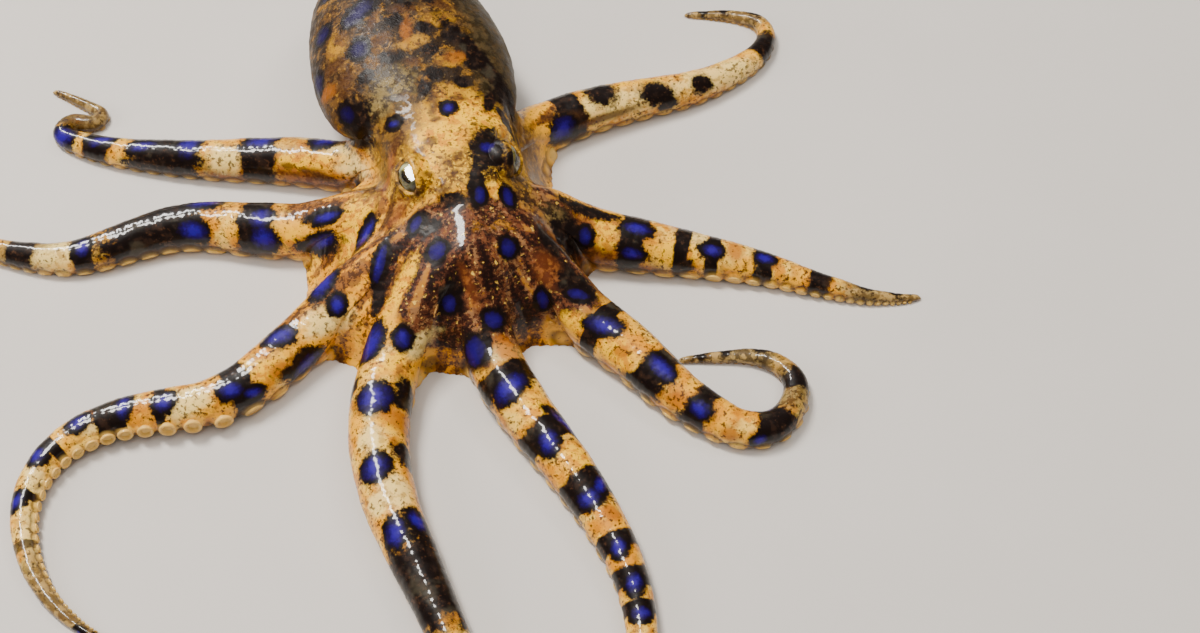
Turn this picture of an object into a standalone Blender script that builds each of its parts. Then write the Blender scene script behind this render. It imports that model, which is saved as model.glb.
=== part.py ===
"""A life-size blue ringed octopus lying on a flat floor, as closed solids, one for each part of the body.

Units are metres with +Z up. The origin is on the floor under the mouth. The head faces -Y and the mantle
lies back along +Y, so the animal's left side is +X. Lengths below are written in millimetres and turned into
metres by MM. Headings are degrees about +Z, counted from -Y towards +X.
"""
import math

import bmesh
import bpy
from mathutils import Vector

MM = 0.001
GAP = 0.3
CUT_GAP = 0.4

# The trunk is the head and the mantle. Each station has its distance back, sideways shift of its middle,
# half width, top and bottom.
TRUNK_STATIONS = (
    (-7.0, 0.4, 9.0, 17.0, 4.0),
    (-1.0, 0.4, 9.6, 18.4, 3.5),
    (5.0, 0.2, 10.0, 19.3, 3.5),
    (10.0, 0.0, 10.0, 19.4, 4.6),
    (15.0, -0.4, 10.6, 19.2, 6.0),
    (18.0, -1.6, 12.4, 19.6, 6.4),
    (21.0, -2.5, 14.2, 20.2, 6.0),
    (26.0, -2.9, 15.4, 21.4, 2.6),
    (33.0, -3.4, 15.4, 22.2, 0.0),
    (41.0, -4.1, 14.1, 21.4, -0.8),
    (50.0, -4.5, 11.4, 18.4, -0.4),
    (58.0, -4.8, 7.6, 13.0, 0.6),
)
HEAD_FRONT = -7.0
NECK = 15.0
MANTLE_TIP = 58.0
HEAD_ROUNDING = 8.0
MANTLE_ROUNDING = 14.0
TRUNK_END_MARGIN = 0.06
TRUNK_SIDES = 24
TRUNK_FULLNESS = 2.25
HEAD_RINGS = 11
MANTLE_RINGS = 17

# Eyes: the ball, and the mound of skin it sits in.
EYE_RADIUS = 2.9
EYE_CENTRES = {"eye_right": (-5.7, 4.4, 16.6), "eye_left": (6.8, 5.0, 16.3)}
EYE_LOOKS = {"eye_right": (-0.85, -0.22, 0.48), "eye_left": (0.88, -0.12, 0.46)}
EYE_SEGMENTS = 18
EYE_ROWS = 12
EYE_MOUND_HEIGHT = 0.8
EYE_MOUND_WIDTH = 3.2

# The funnel under the neck: its root in the mantle, its mouth, and its radius at each end.
FUNNEL_ROOT = (0.6, 25.5, 3.4)
FUNNEL_MOUTH = (2.4, 17.6, 4.0)
FUNNEL_RADII = (2.6, 1.8)
FUNNEL_SIDES = 14
FUNNEL_BORE = 1.0
FUNNEL_BORE_DEPTH = 0.3

# The crown: the cone of web and arm roots round the mouth. Its top lies inside the head.
CROWN_TOP = (0.4, -2.0, 16.0)
CROWN_TOP_RADIUS = 6.0
CROWN_ROWS = 7
CROWN_SHOULDER = 6.5
CROWN_SHOULDER_DROP = 2.0
ARM_ROOT_REACH = 8.0
ARM_ROOT_RISE = 2.2
ARM_SIDE_RISE = 4.2
WEB_REACH = 7.0
WEB_RISE = 6.4

# The arms in order round the mouth, from the animal's front left. Each has the point and heading where it
# leaves the web, its width there, how its taper bends, its turns as pairs of length and angle, and the edge
# of the web beyond it.
ARMS = {
    "arm_left_1": {
        "start": (0.6, -21.0), "heading": 13, "width": 8.6, "taper": 1.1, "web_edge": (6.2, -17.0),
        "bends": ((10, 9), (6, 2), (13, -7), (6, -5), (11, -19), (14, -18), (16, -45)),
    },
    "arm_left_2": {
        "start": (16.0, -17.6), "heading": 40, "width": 8.8, "taper": 1.05, "web_edge": (17.0, -6.4),
        "bends": ((13, -10), (12, 19), (4.5, 32), (4.5, 45), (4.5, 29), (7.5, 77), (5, 26), (9, 6)),
    },
    "arm_left_3": {
        "start": (20.7, -2.7), "heading": 69, "width": 9.1, "taper": 1.0, "web_edge": (14.6, 11.6),
        "bends": ((19, -1), (10, -9), (10, 6), (10, 24)),
    },
    "arm_left_4": {
        "start": (17.2, 22.2), "heading": 108, "width": 7.8, "taper": 1.25, "web_edge": (0.0, 15.4),
        "bends": ((13, -13), (8, 0), (8, 13), (6.5, 11), (5, 21), (4, 29), (4, 62), (5, 20), (7, 6)),
    },
    "arm_right_4": {
        "start": (-16.8, 20.6), "heading": -113, "width": 8.0, "taper": 1.25, "web_edge": (-15.2, 15.4),
        "bends": ((9, 7), (8, 2), (8, -4), (7, -3), (8, -8), (5.5, -12), (5.4, -156), (1.6, 0), (4, 150), (10, 10)),
    },
    "arm_right_3": {
        "start": (-24.3, 8.7), "heading": -102, "width": 8.6, "taper": 1.25, "web_edge": (-24.4, 1.2),
        "bends": ((9, -9), (5, 5), (10, 26), (5, 2), (5, -10), (6, -24), (7, -6), (20, 60)),
    },
    "arm_right_2": {
        "start": (-25.5, -11.0), "heading": -54, "width": 8.1, "taper": 1.1, "web_edge": (-19.4, -15.6),
        "bends": ((9, -1), (10, -36), (5.5, -4), (5.5, 9), (6, 20), (11, 47), (5, 20), (11, 26), (13, 33)),
    },
    "arm_right_1": {
        "start": (-14.8, -20.6), "heading": -24, "width": 9.2, "taper": 1.25, "web_edge": (-8.6, -18.4),
        "bends": ((6, 11), (13, 19), (6.5, 8), (20, -1), (16, -12), (18, -40)),
    },
}
ARM_TIP_SHARE = 0.115
ARM_SIDES = 10
ARM_CENTRE_HEIGHT = 0.8
ARM_RING_SPACING = 3.0
ARM_RING_TURN = 24.0
ARM_TIP_ROUNDING = 1.2
ARM_TIP_CLOSING = 0.8
ARM_TIP_RINGS = (0.6, 0.2, 0.0)
ARM_LAST_RING_ROOM = 0.3
WALK_STEP = 0.25
ARM_LENGTHS = (("root", 0.0, 0.28), ("middle", 0.28, 0.54), ("outer", 0.54, 0.78), ("tip", 0.78, 1.0))

SKIN_COLOUR = (0.62, 0.42, 0.14, 1.0)
MANTLE_COLOUR = (0.20, 0.13, 0.06, 1.0)
CROWN_COLOUR = (0.33, 0.16, 0.08, 1.0)
EYE_COLOUR = (0.55, 0.62, 0.60, 1.0)
SKIN_ROUGHNESS = 0.25
EYE_ROUGHNESS = 0.08
SHARP_ANGLE = 50.0


def clear_scene():
    """Removes every object that the file opened with."""
    for old in list(bpy.data.objects):
        bpy.data.objects.remove(old, do_unlink=True)


def make_material(name, colour, roughness):
    """One plain wet-looking material."""
    material = bpy.data.materials.new(name)
    material.use_nodes = True
    shader = material.node_tree.nodes["Principled BSDF"]
    shader.inputs["Base Color"].default_value = colour
    shader.inputs["Roughness"].default_value = roughness
    shader.inputs["Metallic"].default_value = 0.0
    return material


def add_object(name, mesh_data, material):
    """Turns a bmesh into a named, smooth-shaded object with its normals facing out."""
    bmesh.ops.recalc_face_normals(mesh_data, faces=mesh_data.faces)
    mesh = bpy.data.meshes.new(name)
    mesh_data.to_mesh(mesh)
    mesh_data.free()
    mesh.shade_smooth()
    mesh.set_sharp_from_angle(angle=math.radians(SHARP_ANGLE))
    mesh.materials.append(material)
    piece = bpy.data.objects.new(name, mesh)
    bpy.context.scene.collection.objects.link(piece)
    return piece


def loft(name, rings, material):
    """A closed body through rings with the same number of points, given in millimetres."""
    body = bmesh.new()
    rows = [[body.verts.new(Vector(point) * MM) for point in ring] for ring in rings]
    count = len(rings[0])
    for near, far in zip(rows, rows[1:]):
        for i in range(count):
            j = (i + 1) % count
            body.faces.new((near[i], near[j], far[j], far[i]))
    body.faces.new(list(reversed(rows[0])))
    body.faces.new(rows[-1])
    return add_object(name, body, material)


def direction(heading):
    """The unit vector on the floor for a heading."""
    angle = math.radians(heading)
    return Vector((math.sin(angle), -math.cos(angle), 0.0))


def walk(arm):
    """Points along an arm's middle line, as (distance, x, y, heading), in small even steps."""
    x, y = arm["start"]
    heading = arm["heading"]
    run = 0.0
    route = [(run, x, y, heading)]
    for length, turn in arm["bends"]:
        steps = max(1, round(length / WALK_STEP))
        for _ in range(steps):
            ahead = direction(heading + 0.5 * turn / steps)
            x += ahead.x * length / steps
            y += ahead.y * length / steps
            heading += turn / steps
            run += length / steps
            route.append((run, x, y, heading))
    return route


def place_at(route, run):
    """The point and heading at a distance along a route."""
    for (run_a, xa, ya, ha), (run_b, xb, yb, hb) in zip(route, route[1:]):
        if run <= run_b:
            share = (run - run_a) / (run_b - run_a)
            middle = Vector((xa + (xb - xa) * share, ya + (yb - ya) * share, 0.0))
            return middle, ha + (hb - ha) * share
    _, x, y, heading = route[-1]
    return Vector((x, y, 0.0)), heading


def arm_width(arm, run, length):
    """The arm's width at a distance along it, tapering to a rounded tip."""
    width = arm["width"] * (1.0 - (1.0 - ARM_TIP_SHARE) * (run / length) ** arm["taper"])
    into_tip = (run - (length - ARM_TIP_ROUNDING)) / ARM_TIP_ROUNDING
    if into_tip > 0.0:
        width *= math.sqrt(max(0.0, 1.0 - ARM_TIP_CLOSING * into_tip ** 2))
    return width


def arm_section(middle, heading, width):
    """A round section with a flat foot on the floor, from the arm's right side over the top to its left."""
    radius = 0.5 * width
    centre = ARM_CENTRE_HEIGHT * radius
    side = direction(heading + 90.0)
    foot = math.acos(ARM_CENTRE_HEIGHT)
    points = []
    for i in range(ARM_SIDES):
        angle = -math.pi + foot + (2.0 * math.pi - 2.0 * foot) * i / (ARM_SIDES - 1)
        across = radius * math.sin(angle)
        height = centre + radius * math.cos(angle)
        points.append(middle + side * across + Vector((0.0, 0.0, max(0.0, height))))
    points[0].z = 0.0
    points[-1].z = 0.0
    return points


def ring_runs(route, start, end):
    """Distances for an arm's sections: even along straight stretches and closer together in tight bends."""
    runs = [start]
    _, last_heading = place_at(route, start)
    for run, _, _, heading in route:
        if not start < run < end:
            continue
        far = run - runs[-1] >= ARM_RING_SPACING
        turned = abs(heading - last_heading) >= ARM_RING_TURN
        if (far or turned) and end - run > ARM_LAST_RING_ROOM * ARM_RING_SPACING:
            runs.append(run)
            last_heading = heading
    runs.append(end)
    return runs


def make_arm(name, arm, material):
    """The arm's lengths, each a closed solid, with a narrow gap between one and the next."""
    route = walk(arm)
    length = route[-1][0]
    for part, low, high in ARM_LENGTHS:
        start = low * length + GAP
        end = high * length
        runs = ring_runs(route, start, end)
        if high == 1.0:
            runs[-1:] = [end - share * ARM_TIP_ROUNDING for share in ARM_TIP_RINGS]
        rings = []
        for run in runs:
            middle, heading = place_at(route, run)
            rings.append(arm_section(middle, heading, arm_width(arm, run, length)))
        loft(f"{name}_{part}", rings, material)


def smooth_station(back):
    """The trunk's shift, half width, top and bottom at a distance back, on a smooth curve through the stations."""
    rows = TRUNK_STATIONS
    last = len(rows) - 1
    k = max(i for i in range(last) if rows[i][0] <= back or i == 0)
    share = min(1.0, max(0.0, (back - rows[k][0]) / (rows[k + 1][0] - rows[k][0])))
    span = rows[k + 1][0] - rows[k][0]
    values = []
    for column in range(1, 5):
        before, after = rows[max(0, k - 1)], rows[min(last, k + 2)]
        here, there = rows[k], rows[k + 1]
        slope_a = (there[column] - before[column]) / (there[0] - before[0]) * span
        slope_b = (after[column] - here[column]) / (after[0] - here[0]) * span
        t2, t3 = share ** 2, share ** 3
        values.append(
            (2 * t3 - 3 * t2 + 1) * here[column]
            + (t3 - 2 * t2 + share) * slope_a
            + (3 * t2 - 2 * t3) * there[column]
            + (t3 - t2) * slope_b
        )
    return values


def end_rounding(back):
    """How much the trunk narrows at its two rounded ends."""
    into_tip = max(0.0, (back - (MANTLE_TIP - MANTLE_ROUNDING)) / MANTLE_ROUNDING)
    into_front = max(0.0, ((HEAD_FRONT + HEAD_ROUNDING) - back) / HEAD_ROUNDING)
    return math.sqrt(max(0.0, 1.0 - into_tip ** 2)) * math.sqrt(max(0.0, 1.0 - into_front ** 2))


def raise_mound(point):
    """Lifts the skin round each eye."""
    for name, centre in EYE_CENTRES.items():
        away = point - Vector(centre)
        lift = EYE_MOUND_HEIGHT * math.exp(-0.5 * (away.length / EYE_MOUND_WIDTH) ** 2)
        point = point + Vector(EYE_LOOKS[name]).normalized() * lift
    return point


def trunk_ring(back, grow=0.0):
    """One upright section of the trunk, an oval that lies flat where it meets the floor."""
    shift, half_width, top, bottom = smooth_station(back)
    shrink = end_rounding(back)
    middle = 0.5 * (top + bottom)
    half_width = half_width * shrink + grow
    half_height = 0.5 * (top - bottom) * shrink + grow
    power = 2.0 / TRUNK_FULLNESS
    points = []
    for i in range(TRUNK_SIDES):
        angle = 2.0 * math.pi * i / TRUNK_SIDES
        across = math.copysign(abs(math.cos(angle)) ** power, math.cos(angle))
        up = math.copysign(abs(math.sin(angle)) ** power, math.sin(angle))
        point = Vector((shift + half_width * across, back, middle + half_height * up))
        point = raise_mound(point)
        point.z = max(point.z, 0.0)
        points.append(point)
    return points


def spaced(low, high, count, round_low, round_high):
    """Distances from low to high, closer together at an end that is round."""
    for i in range(count):
        share = i / (count - 1)
        if round_low and round_high:
            share = 0.5 - 0.5 * math.cos(math.pi * share)
        elif round_low:
            share = 1.0 - math.cos(0.5 * math.pi * share)
        elif round_high:
            share = math.sin(0.5 * math.pi * share)
        yield low + (high - low) * share


def trunk_places():
    """Where the head's and the mantle's sections are, front to back."""
    front = HEAD_FRONT + TRUNK_END_MARGIN
    rear = MANTLE_TIP - TRUNK_END_MARGIN
    head = list(spaced(front, NECK, HEAD_RINGS, True, False))
    mantle = list(spaced(NECK + GAP, rear, MANTLE_RINGS, False, True))
    return head, mantle


def make_trunk(material):
    """The head and the mantle, which meet at the neck."""
    head, mantle = trunk_places()
    head_piece = loft("head", [trunk_ring(y) for y in head], material)
    mantle_piece = loft("mantle", [trunk_ring(y) for y in mantle], material)
    return head_piece, mantle_piece


def trunk_cutter(material):
    """The whole trunk, larger by the gap, which the pieces that touch it are cut with."""
    head, mantle = trunk_places()
    places = [HEAD_FRONT - CUT_GAP] + head + mantle + [MANTLE_TIP + CUT_GAP]
    return as_cutter(loft("trunk_cutter", [trunk_ring(y, CUT_GAP) for y in places], material))


def as_cutter(cutter):
    """Marks an object as a cutting tool, which isn't part of the animal."""
    cutter.hide_render = True
    cutter.display_type = "WIRE"
    return cutter


def cut(piece, cutter):
    """Takes the cutter's volume out of a piece."""
    modifier = piece.modifiers.new("cut_" + cutter.name, "BOOLEAN")
    modifier.operation = "DIFFERENCE"
    modifier.solver = "EXACT"
    modifier.object = cutter


def ball(name, centre, radius, material):
    """A round ball."""
    body = bmesh.new()
    bmesh.ops.create_uvsphere(body, u_segments=EYE_SEGMENTS, v_segments=EYE_ROWS, radius=radius * MM)
    bmesh.ops.translate(body, vec=Vector(centre) * MM, verts=body.verts)
    return add_object(name, body, material)


def make_eyes(head, material):
    """Both eyeballs, and the sockets that they sit in."""
    for name, centre in EYE_CENTRES.items():
        ball(name, centre, EYE_RADIUS, material)
        socket = as_cutter(ball(f"{name}_socket", centre, EYE_RADIUS + GAP, material))
        cut(head, socket)


def funnel_rings(grow, bore):
    """Sections along the funnel. With a bore, the last ones turn back into its mouth."""
    root, mouth = Vector(FUNNEL_ROOT), Vector(FUNNEL_MOUTH)
    along = (mouth - root).normalized()
    side = along.cross(Vector((0.0, 0.0, 1.0))).normalized()
    up = side.cross(along)
    wide, narrow = FUNNEL_RADII
    stops = [(root - along * grow, wide + grow), (root.lerp(mouth, 0.5), 0.5 * (wide + narrow) + grow)]
    stops.append((mouth + along * grow, narrow + grow))
    if bore:
        stops.append((mouth, FUNNEL_BORE))
        inner = 1.0 - FUNNEL_BORE_DEPTH
        stops.append((root.lerp(mouth, inner), inner * FUNNEL_BORE))
    rings = []
    for centre, radius in stops:
        ring = []
        for i in range(FUNNEL_SIDES):
            angle = 2.0 * math.pi * i / FUNNEL_SIDES
            ring.append(centre + side * radius * math.cos(angle) + up * radius * math.sin(angle))
        rings.append(ring)
    return rings


def make_funnel(mantle, material):
    """The funnel, set into the mantle's underside."""
    funnel = loft("funnel", funnel_rings(0.0, True), material)
    cut(mantle, as_cutter(loft("funnel_cutter", funnel_rings(GAP, False), material)))
    return funnel


def bezier(points, share):
    """A point on the cubic curve with four control points."""
    rest = 1.0 - share
    a, b, c, d = points
    return a * rest ** 3 + b * 3 * rest ** 2 * share + c * 3 * rest * share ** 2 + d * share ** 3


def crown_columns():
    """The curves that run down the crown: over each arm's root to its end face, and to the web's edge between."""
    ends = []
    for arm in ARMS.values():
        x, y = arm["start"]
        heading = arm["heading"]
        ahead = direction(heading)
        section = arm_section(Vector((x, y, 0.0)), heading, arm_width(arm, 0.0, 1.0))
        ridge = max(point.z for point in section)
        for point in section:
            rise = ARM_ROOT_RISE + ARM_SIDE_RISE * (1.0 - point.z / ridge)
            ends.append((point, -ahead * ARM_ROOT_REACH, rise))
        edge = Vector((*arm["web_edge"], 0.0))
        ends.append((edge, -edge.normalized() * WEB_REACH, WEB_RISE))
    top = Vector(CROWN_TOP)
    columns = []
    first = math.atan2(ends[0][0].x, -ends[0][0].y)
    for i, (end, back, rise) in enumerate(ends):
        outward = direction(math.degrees(first + 2.0 * math.pi * i / len(ends)))
        start = top + outward * CROWN_TOP_RADIUS
        shoulder = start + outward * CROWN_SHOULDER - Vector((0.0, 0.0, CROWN_SHOULDER_DROP))
        hold = end + back + Vector((0.0, 0.0, rise))
        columns.append([bezier((start, shoulder, hold, end), k / CROWN_ROWS) for k in range(CROWN_ROWS + 1)])
    return columns


def make_crown(cutter, material):
    """The star-shaped crown: a top, sides, one flat end face for each arm, and a flat underside."""
    body = bmesh.new()
    columns = [[body.verts.new(point * MM) for point in column] for column in crown_columns()]
    count = len(columns)
    for i in range(count):
        here, there = columns[i], columns[(i + 1) % count]
        for k in range(CROWN_ROWS):
            body.faces.new((here[k], here[k + 1], there[k + 1], there[k]))
    body.faces.new([column[0] for column in columns])
    foot = []
    for first in range(0, count, ARM_SIDES + 1):
        section = [columns[first + i][-1] for i in range(ARM_SIDES)]
        body.faces.new(section)
        foot += [section[0], section[-1], columns[first + ARM_SIDES][-1]]
    body.faces.new(foot)
    crown = add_object("crown", body, material)
    cut(crown, cutter)
    return crown


def main():
    clear_scene()
    skin = make_material("arm_skin", SKIN_COLOUR, SKIN_ROUGHNESS)
    mantle_skin = make_material("mantle_skin", MANTLE_COLOUR, SKIN_ROUGHNESS)
    crown_skin = make_material("crown_skin", CROWN_COLOUR, SKIN_ROUGHNESS)
    eye = make_material("eye_surface", EYE_COLOUR, EYE_ROUGHNESS)
    head, mantle = make_trunk(mantle_skin)
    cutter = trunk_cutter(mantle_skin)
    make_eyes(head, eye)
    make_funnel(mantle, crown_skin)
    make_crown(cutter, crown_skin)
    for name, arm in ARMS.items():
        make_arm(name, arm, skin)


main()
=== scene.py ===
"""A blue ringed octopus, life size, lying on a pale floor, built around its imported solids.

Shapes below are worked out in millimetres in the body's frame and turned into metres by MM. The origin is on
the floor under the mouth, the head faces -Y, the mantle lies back along +Y, and +X is the animal's left.
"""
import math

import bmesh
import bpy
import numpy as np
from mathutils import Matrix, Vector, bvhtree, kdtree


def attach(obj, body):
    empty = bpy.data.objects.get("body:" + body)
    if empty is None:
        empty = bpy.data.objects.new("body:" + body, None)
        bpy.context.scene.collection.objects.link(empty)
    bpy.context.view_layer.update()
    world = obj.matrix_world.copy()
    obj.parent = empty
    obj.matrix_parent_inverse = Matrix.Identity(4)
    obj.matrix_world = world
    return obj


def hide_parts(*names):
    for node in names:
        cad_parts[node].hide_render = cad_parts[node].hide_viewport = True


MM = 0.001
UP = np.array((0.0, 0.0, 1.0))

# The camera: the point on the floor that it aims at, how high and how far it is, and how far it is turned.
AIM = (17.7, -14.2, 0.0)
ELEVATION = 55.0
DISTANCE = 247.5
TURN = 12.0
LENS = 49.5
SENSOR = 36.0
PHOTO = (1200, 633)
FOCAL = LENS / SENSOR * PHOTO[0]

# The body, with the same values as its solids.
TRUNK_STATIONS = (  # y, x, half width, top, bottom
    (-7.0, 0.4, 9.0, 17.0, 4.0),
    (-1.0, 0.4, 9.6, 18.4, 3.5),
    (5.0, 0.2, 10.0, 19.3, 3.5),
    (10.0, 0.0, 10.0, 19.4, 4.6),
    (15.0, -0.4, 10.6, 19.2, 6.0),
    (18.0, -1.6, 12.4, 19.6, 6.4),
    (21.0, -2.5, 14.2, 20.2, 6.0),
    (26.0, -2.9, 15.4, 21.4, 2.6),
    (33.0, -3.4, 15.4, 22.2, 0.0),
    (41.0, -4.1, 14.1, 21.4, -0.8),
    (50.0, -4.5, 11.4, 18.4, -0.4),
    (58.0, -4.8, 7.6, 13.0, 0.6),
)
HEAD_FRONT = -7.0
MANTLE_TIP = 58.0
HEAD_ROUNDING = 8.0
MANTLE_ROUNDING = 14.0
TRUNK_FULLNESS = 2.25
EYE_RADIUS = 2.9
EYE_CENTRES = {"eye_right": (-5.7, 4.4, 16.6), "eye_left": (6.8, 5.0, 16.3)}
EYE_LOOKS = {"eye_right": (-0.85, -0.22, 0.48), "eye_left": (0.88, -0.12, 0.46)}
EYE_MOUND_HEIGHT = 0.8
EYE_MOUND_WIDTH = 3.2
FUNNEL_ROOT = (0.6, 25.5, 3.4)
FUNNEL_MOUTH = (2.4, 17.6, 4.0)
FUNNEL_RADII = (2.6, 1.8)
FUNNEL_BORE = 1.0
CROWN_TOP = (0.4, -2.0, 16.0)
CROWN_TOP_RADIUS = 6.0
CROWN_SHOULDER = 6.5
CROWN_SHOULDER_DROP = 2.0
ARM_ROOT_REACH = 8.0
ARM_ROOT_RISE = 2.2
ARM_SIDE_RISE = 4.2
WEB_REACH = 7.0
WEB_RISE = 6.4
ARMS = {
    "arm_left_1": {
        "start": (0.6, -21.0), "heading": 13, "width": 8.6, "taper": 1.1, "web_edge": (6.2, -17.0),
        "bends": ((10, 9), (6, 2), (13, -7), (6, -5), (11, -19), (14, -18), (16, -45)),
    },
    "arm_left_2": {
        "start": (16.0, -17.6), "heading": 40, "width": 8.8, "taper": 1.05, "web_edge": (17.0, -6.4),
        "bends": ((13, -10), (12, 19), (4.5, 32), (4.5, 45), (4.5, 29), (7.5, 77), (5, 26), (9, 6)),
    },
    "arm_left_3": {
        "start": (20.7, -2.7), "heading": 69, "width": 9.1, "taper": 1.0, "web_edge": (14.6, 11.6),
        "bends": ((19, -1), (10, -9), (10, 6), (10, 24)),
    },
    "arm_left_4": {
        "start": (17.2, 22.2), "heading": 108, "width": 7.8, "taper": 1.25, "web_edge": (0.0, 15.4),
        "bends": ((13, -13), (8, 0), (8, 13), (6.5, 11), (5, 21), (4, 29), (4, 62), (5, 20), (7, 6)),
    },
    "arm_right_4": {
        "start": (-16.8, 20.6), "heading": -113, "width": 8.0, "taper": 1.25, "web_edge": (-15.2, 15.4),
        "bends": ((9, 7), (8, 2), (8, -4), (7, -3), (8, -8), (5.5, -12), (5.4, -156), (1.6, 0), (4, 150),
                  (10, 10)),
    },
    "arm_right_3": {
        "start": (-24.3, 8.7), "heading": -102, "width": 8.6, "taper": 1.25, "web_edge": (-24.4, 1.2),
        "bends": ((9, -9), (5, 5), (10, 26), (5, 2), (5, -10), (6, -24), (7, -6), (20, 60)),
    },
    "arm_right_2": {
        "start": (-25.5, -11.0), "heading": -54, "width": 8.1, "taper": 1.1, "web_edge": (-19.4, -15.6),
        "bends": ((9, -1), (10, -36), (5.5, -4), (5.5, 9), (6, 20), (11, 47), (5, 20), (11, 26), (13, 33)),
    },
    "arm_right_1": {
        "start": (-14.8, -20.6), "heading": -24, "width": 9.2, "taper": 1.25, "web_edge": (-8.6, -18.4),
        "bends": ((6, 11), (13, 19), (6.5, 8), (20, -1), (16, -12), (18, -40)),
    },
}
ARM_TIP_SHARE = 0.115
ARM_TIP_ROUNDING = 1.2
ARM_TIP_CLOSING = 0.8
ARM_CENTRE_HEIGHT = 0.8
WALK_STEP = 0.25

# How finely the skin is worked.
ARM_SIDES = 36
ARM_STEP = 0.5
ARM_TIP_STOPS = (1.0, 0.7, 0.45, 0.25, 0.1, 0.0)
ARM_OVERLAP = 1.2
FOOT_LIFT = 0.14
TRUNK_SIDES = 96
TRUNK_STEP = 0.6
TRUNK_GRID = 200
TRUNK_END_GAP = 0.03
TRUNK_END_LENGTH = 6.0
NOSE_RINGS = 16
REAR_RINGS = 18
FUNNEL_SIDES = 28
FUNNEL_RINGS = 12
CROWN_ROWS = 44
WEB_COLUMNS = 7
WEB_HOLLOW = 0.35
ARM_PARTS, WEB_PARTS = 9.0, 2.0
LIP_SIDES = 40
BEAK_SIDES = 20
EYE_SIDES = 96
EYE_ROWS = 72
CELL = 0.30

# The fine skin: how far it is smoothed, and how it stands at the eyes, the mantle's edge and underneath.
RELAX_ROUNDS = 5
RELAX_STEPS = (0.6, -0.61)
JOIN_ROUNDS = 60
JOIN_PULL = 0.7
JOIN_NEAR, JOIN_FAR = 2.0, 7.0
BROW_NEAR, BROW_FAR = 9.0, 13.0
ROOT_RUN = 10.0
EYE_GAZES = {"eye_right": (-0.77, -0.32, 0.56), "eye_left": (0.94, -0.14, 0.28)}
LID_REACH = 5.6
EYE_OPENING = (2.45, 1.80, 1.30)
EYE_TURN = 24.0
LID_THICKNESS = 0.42
LID_GAP = 0.16
LID_EDGE = (1.03, 0.95)
LID_RIDGE = (1.2, 0.2)
LID_HOLD = (1.9, 1.3)
LID_CREASE = 0.26
LID_CREASES = ((1.62, 0.10), (1.85, 0.12))
LID_CLEARANCE = 0.22
LID_SUNK = 0.6
LID_CUTS = 2
UNDERSIDE_RISE = 0.8
MANTLE_EDGE = 17.0
MANTLE_EDGE_RISE = 0.45

# The web between the arms' roots: the part of the crown looked at, its grid, and how far valleys are filled.
VALLEY_BOX = ((-31.0, -27.0), (27.0, 20.0))
VALLEY_STEP = 0.5
VALLEY_WIDTH = 4.0
VALLEY_FILL = 0.9
VALLEY_ROUNDS = 8
DEEPEST_VALLEY = 5.0
SKY = 60.0

# The ridge from the brow down to the crown: a point on it, its run sideways, slopes, rounding and reach.
RIDGE_PLACE = (-1.05, -6.5)
RIDGE_LEAN = 0.163
RIDGE_SLOPES = (0.17, 0.23)
RIDGE_ROUNDING = 0.062
RIDGE_RISE = 0.6
RIDGE_REACH = (4.3, 4.6)
RIDGE_LOWEST = 10.0
RIDGE_MIDDLE = (1.0, 2.5)

# The skin's relief: the heights of its lumps, papillae, creases and swellings, and how far apart they stand.
LUMPS = ((0.07, 3.4, 1), (0.02, 1.6, 2))  # height, size, seed
ARM_LUMPS = 1.6
PAPILLA_HEIGHT, PAPILLA_SIZE = 0.07, 1.9
GRAIN_HEIGHT, GRAIN_SIZE = 0.025, 1.0
ARM_GRAIN_HEIGHT = 0.015
CREASE_DEPTH, CREASE_PITCH = 0.035, 1.15
SWELLING_HEIGHT, SWELLING_REACH = 0.30, 1.15
MOAT_DEPTH, MOAT_REACH, MOAT_WIDTH = 0.16, 1.5, 0.25
RIDGE_CALM = 0.85

# The suckers: size and spacing from the arm's radius, their angle from straight down, and each arm's roll.
SUCKER_SHARE = 0.41
SUCKER_PITCH = 1.30
SUCKER_ANGLE = math.radians(37.0)
SUCKER_STAND = 1.3
SUCKER_SEAT = 0.97
INNER_SUCKER = 0.45
LOWEST_SUCKER = 0.3
STALK = 0.32
ROLL_RUN = (4.0, 20.0)
ROOT_BEND = 5.0
ROOT_FLATTENING = 3.0
SUCKER_SIDES = 20
SUCKER_PROFILE = (
    (0.50, -0.90), (0.74, -0.60), (0.80, -0.25), (0.97, -0.02), (1.0, 0.12), (0.93, 0.24),
    (0.82, 0.27), (0.68, 0.20), (0.56, 0.06), (0.36, -0.12), (0.30, -0.35), (0.10, -0.42),
)
ARM_ROLL = {
    "arm_left_1": 6, "arm_left_2": 16, "arm_left_3": 34, "arm_left_4": 0,
    "arm_right_4": 0, "arm_right_3": 16, "arm_right_2": 56, "arm_right_1": 0,
}
BARE_TIP = 1.6
KNOB_HEIGHT = 3.4
MOUTH_REACH = 4.2
LIP_DROP = 0.3
BEAK_LEANS = (-0.35, 0.35)
BEAK_GAP = 0.45
BEAK_DROP = 0.2
LIP_PROFILE = ((3.2, -0.9), (3.3, -0.2), (2.9, 0.25), (2.3, 0.35), (1.7, 0.2), (1.3, -0.2), (1.1, -0.8))
BEAK_PROFILE = ((0.9, -0.9), (0.8, -0.5), (0.55, -0.1), (0.22, 0.2), (0.02, 0.32))

# The eyes: the iris's half angle, the slit's half length, half height and sag, and how deep each part lies.
IRIS_ANGLE = math.radians(36.0)
PUPIL = (1.50, 0.74)
PUPIL_SAG = 0.10
PUPIL_DEPTH = 0.35
BALL_GAP = 0.10
IRIS_DEPTH = 0.14
IRIS_RAYS, RAY_DEPTH = 30.0, 0.02

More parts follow.
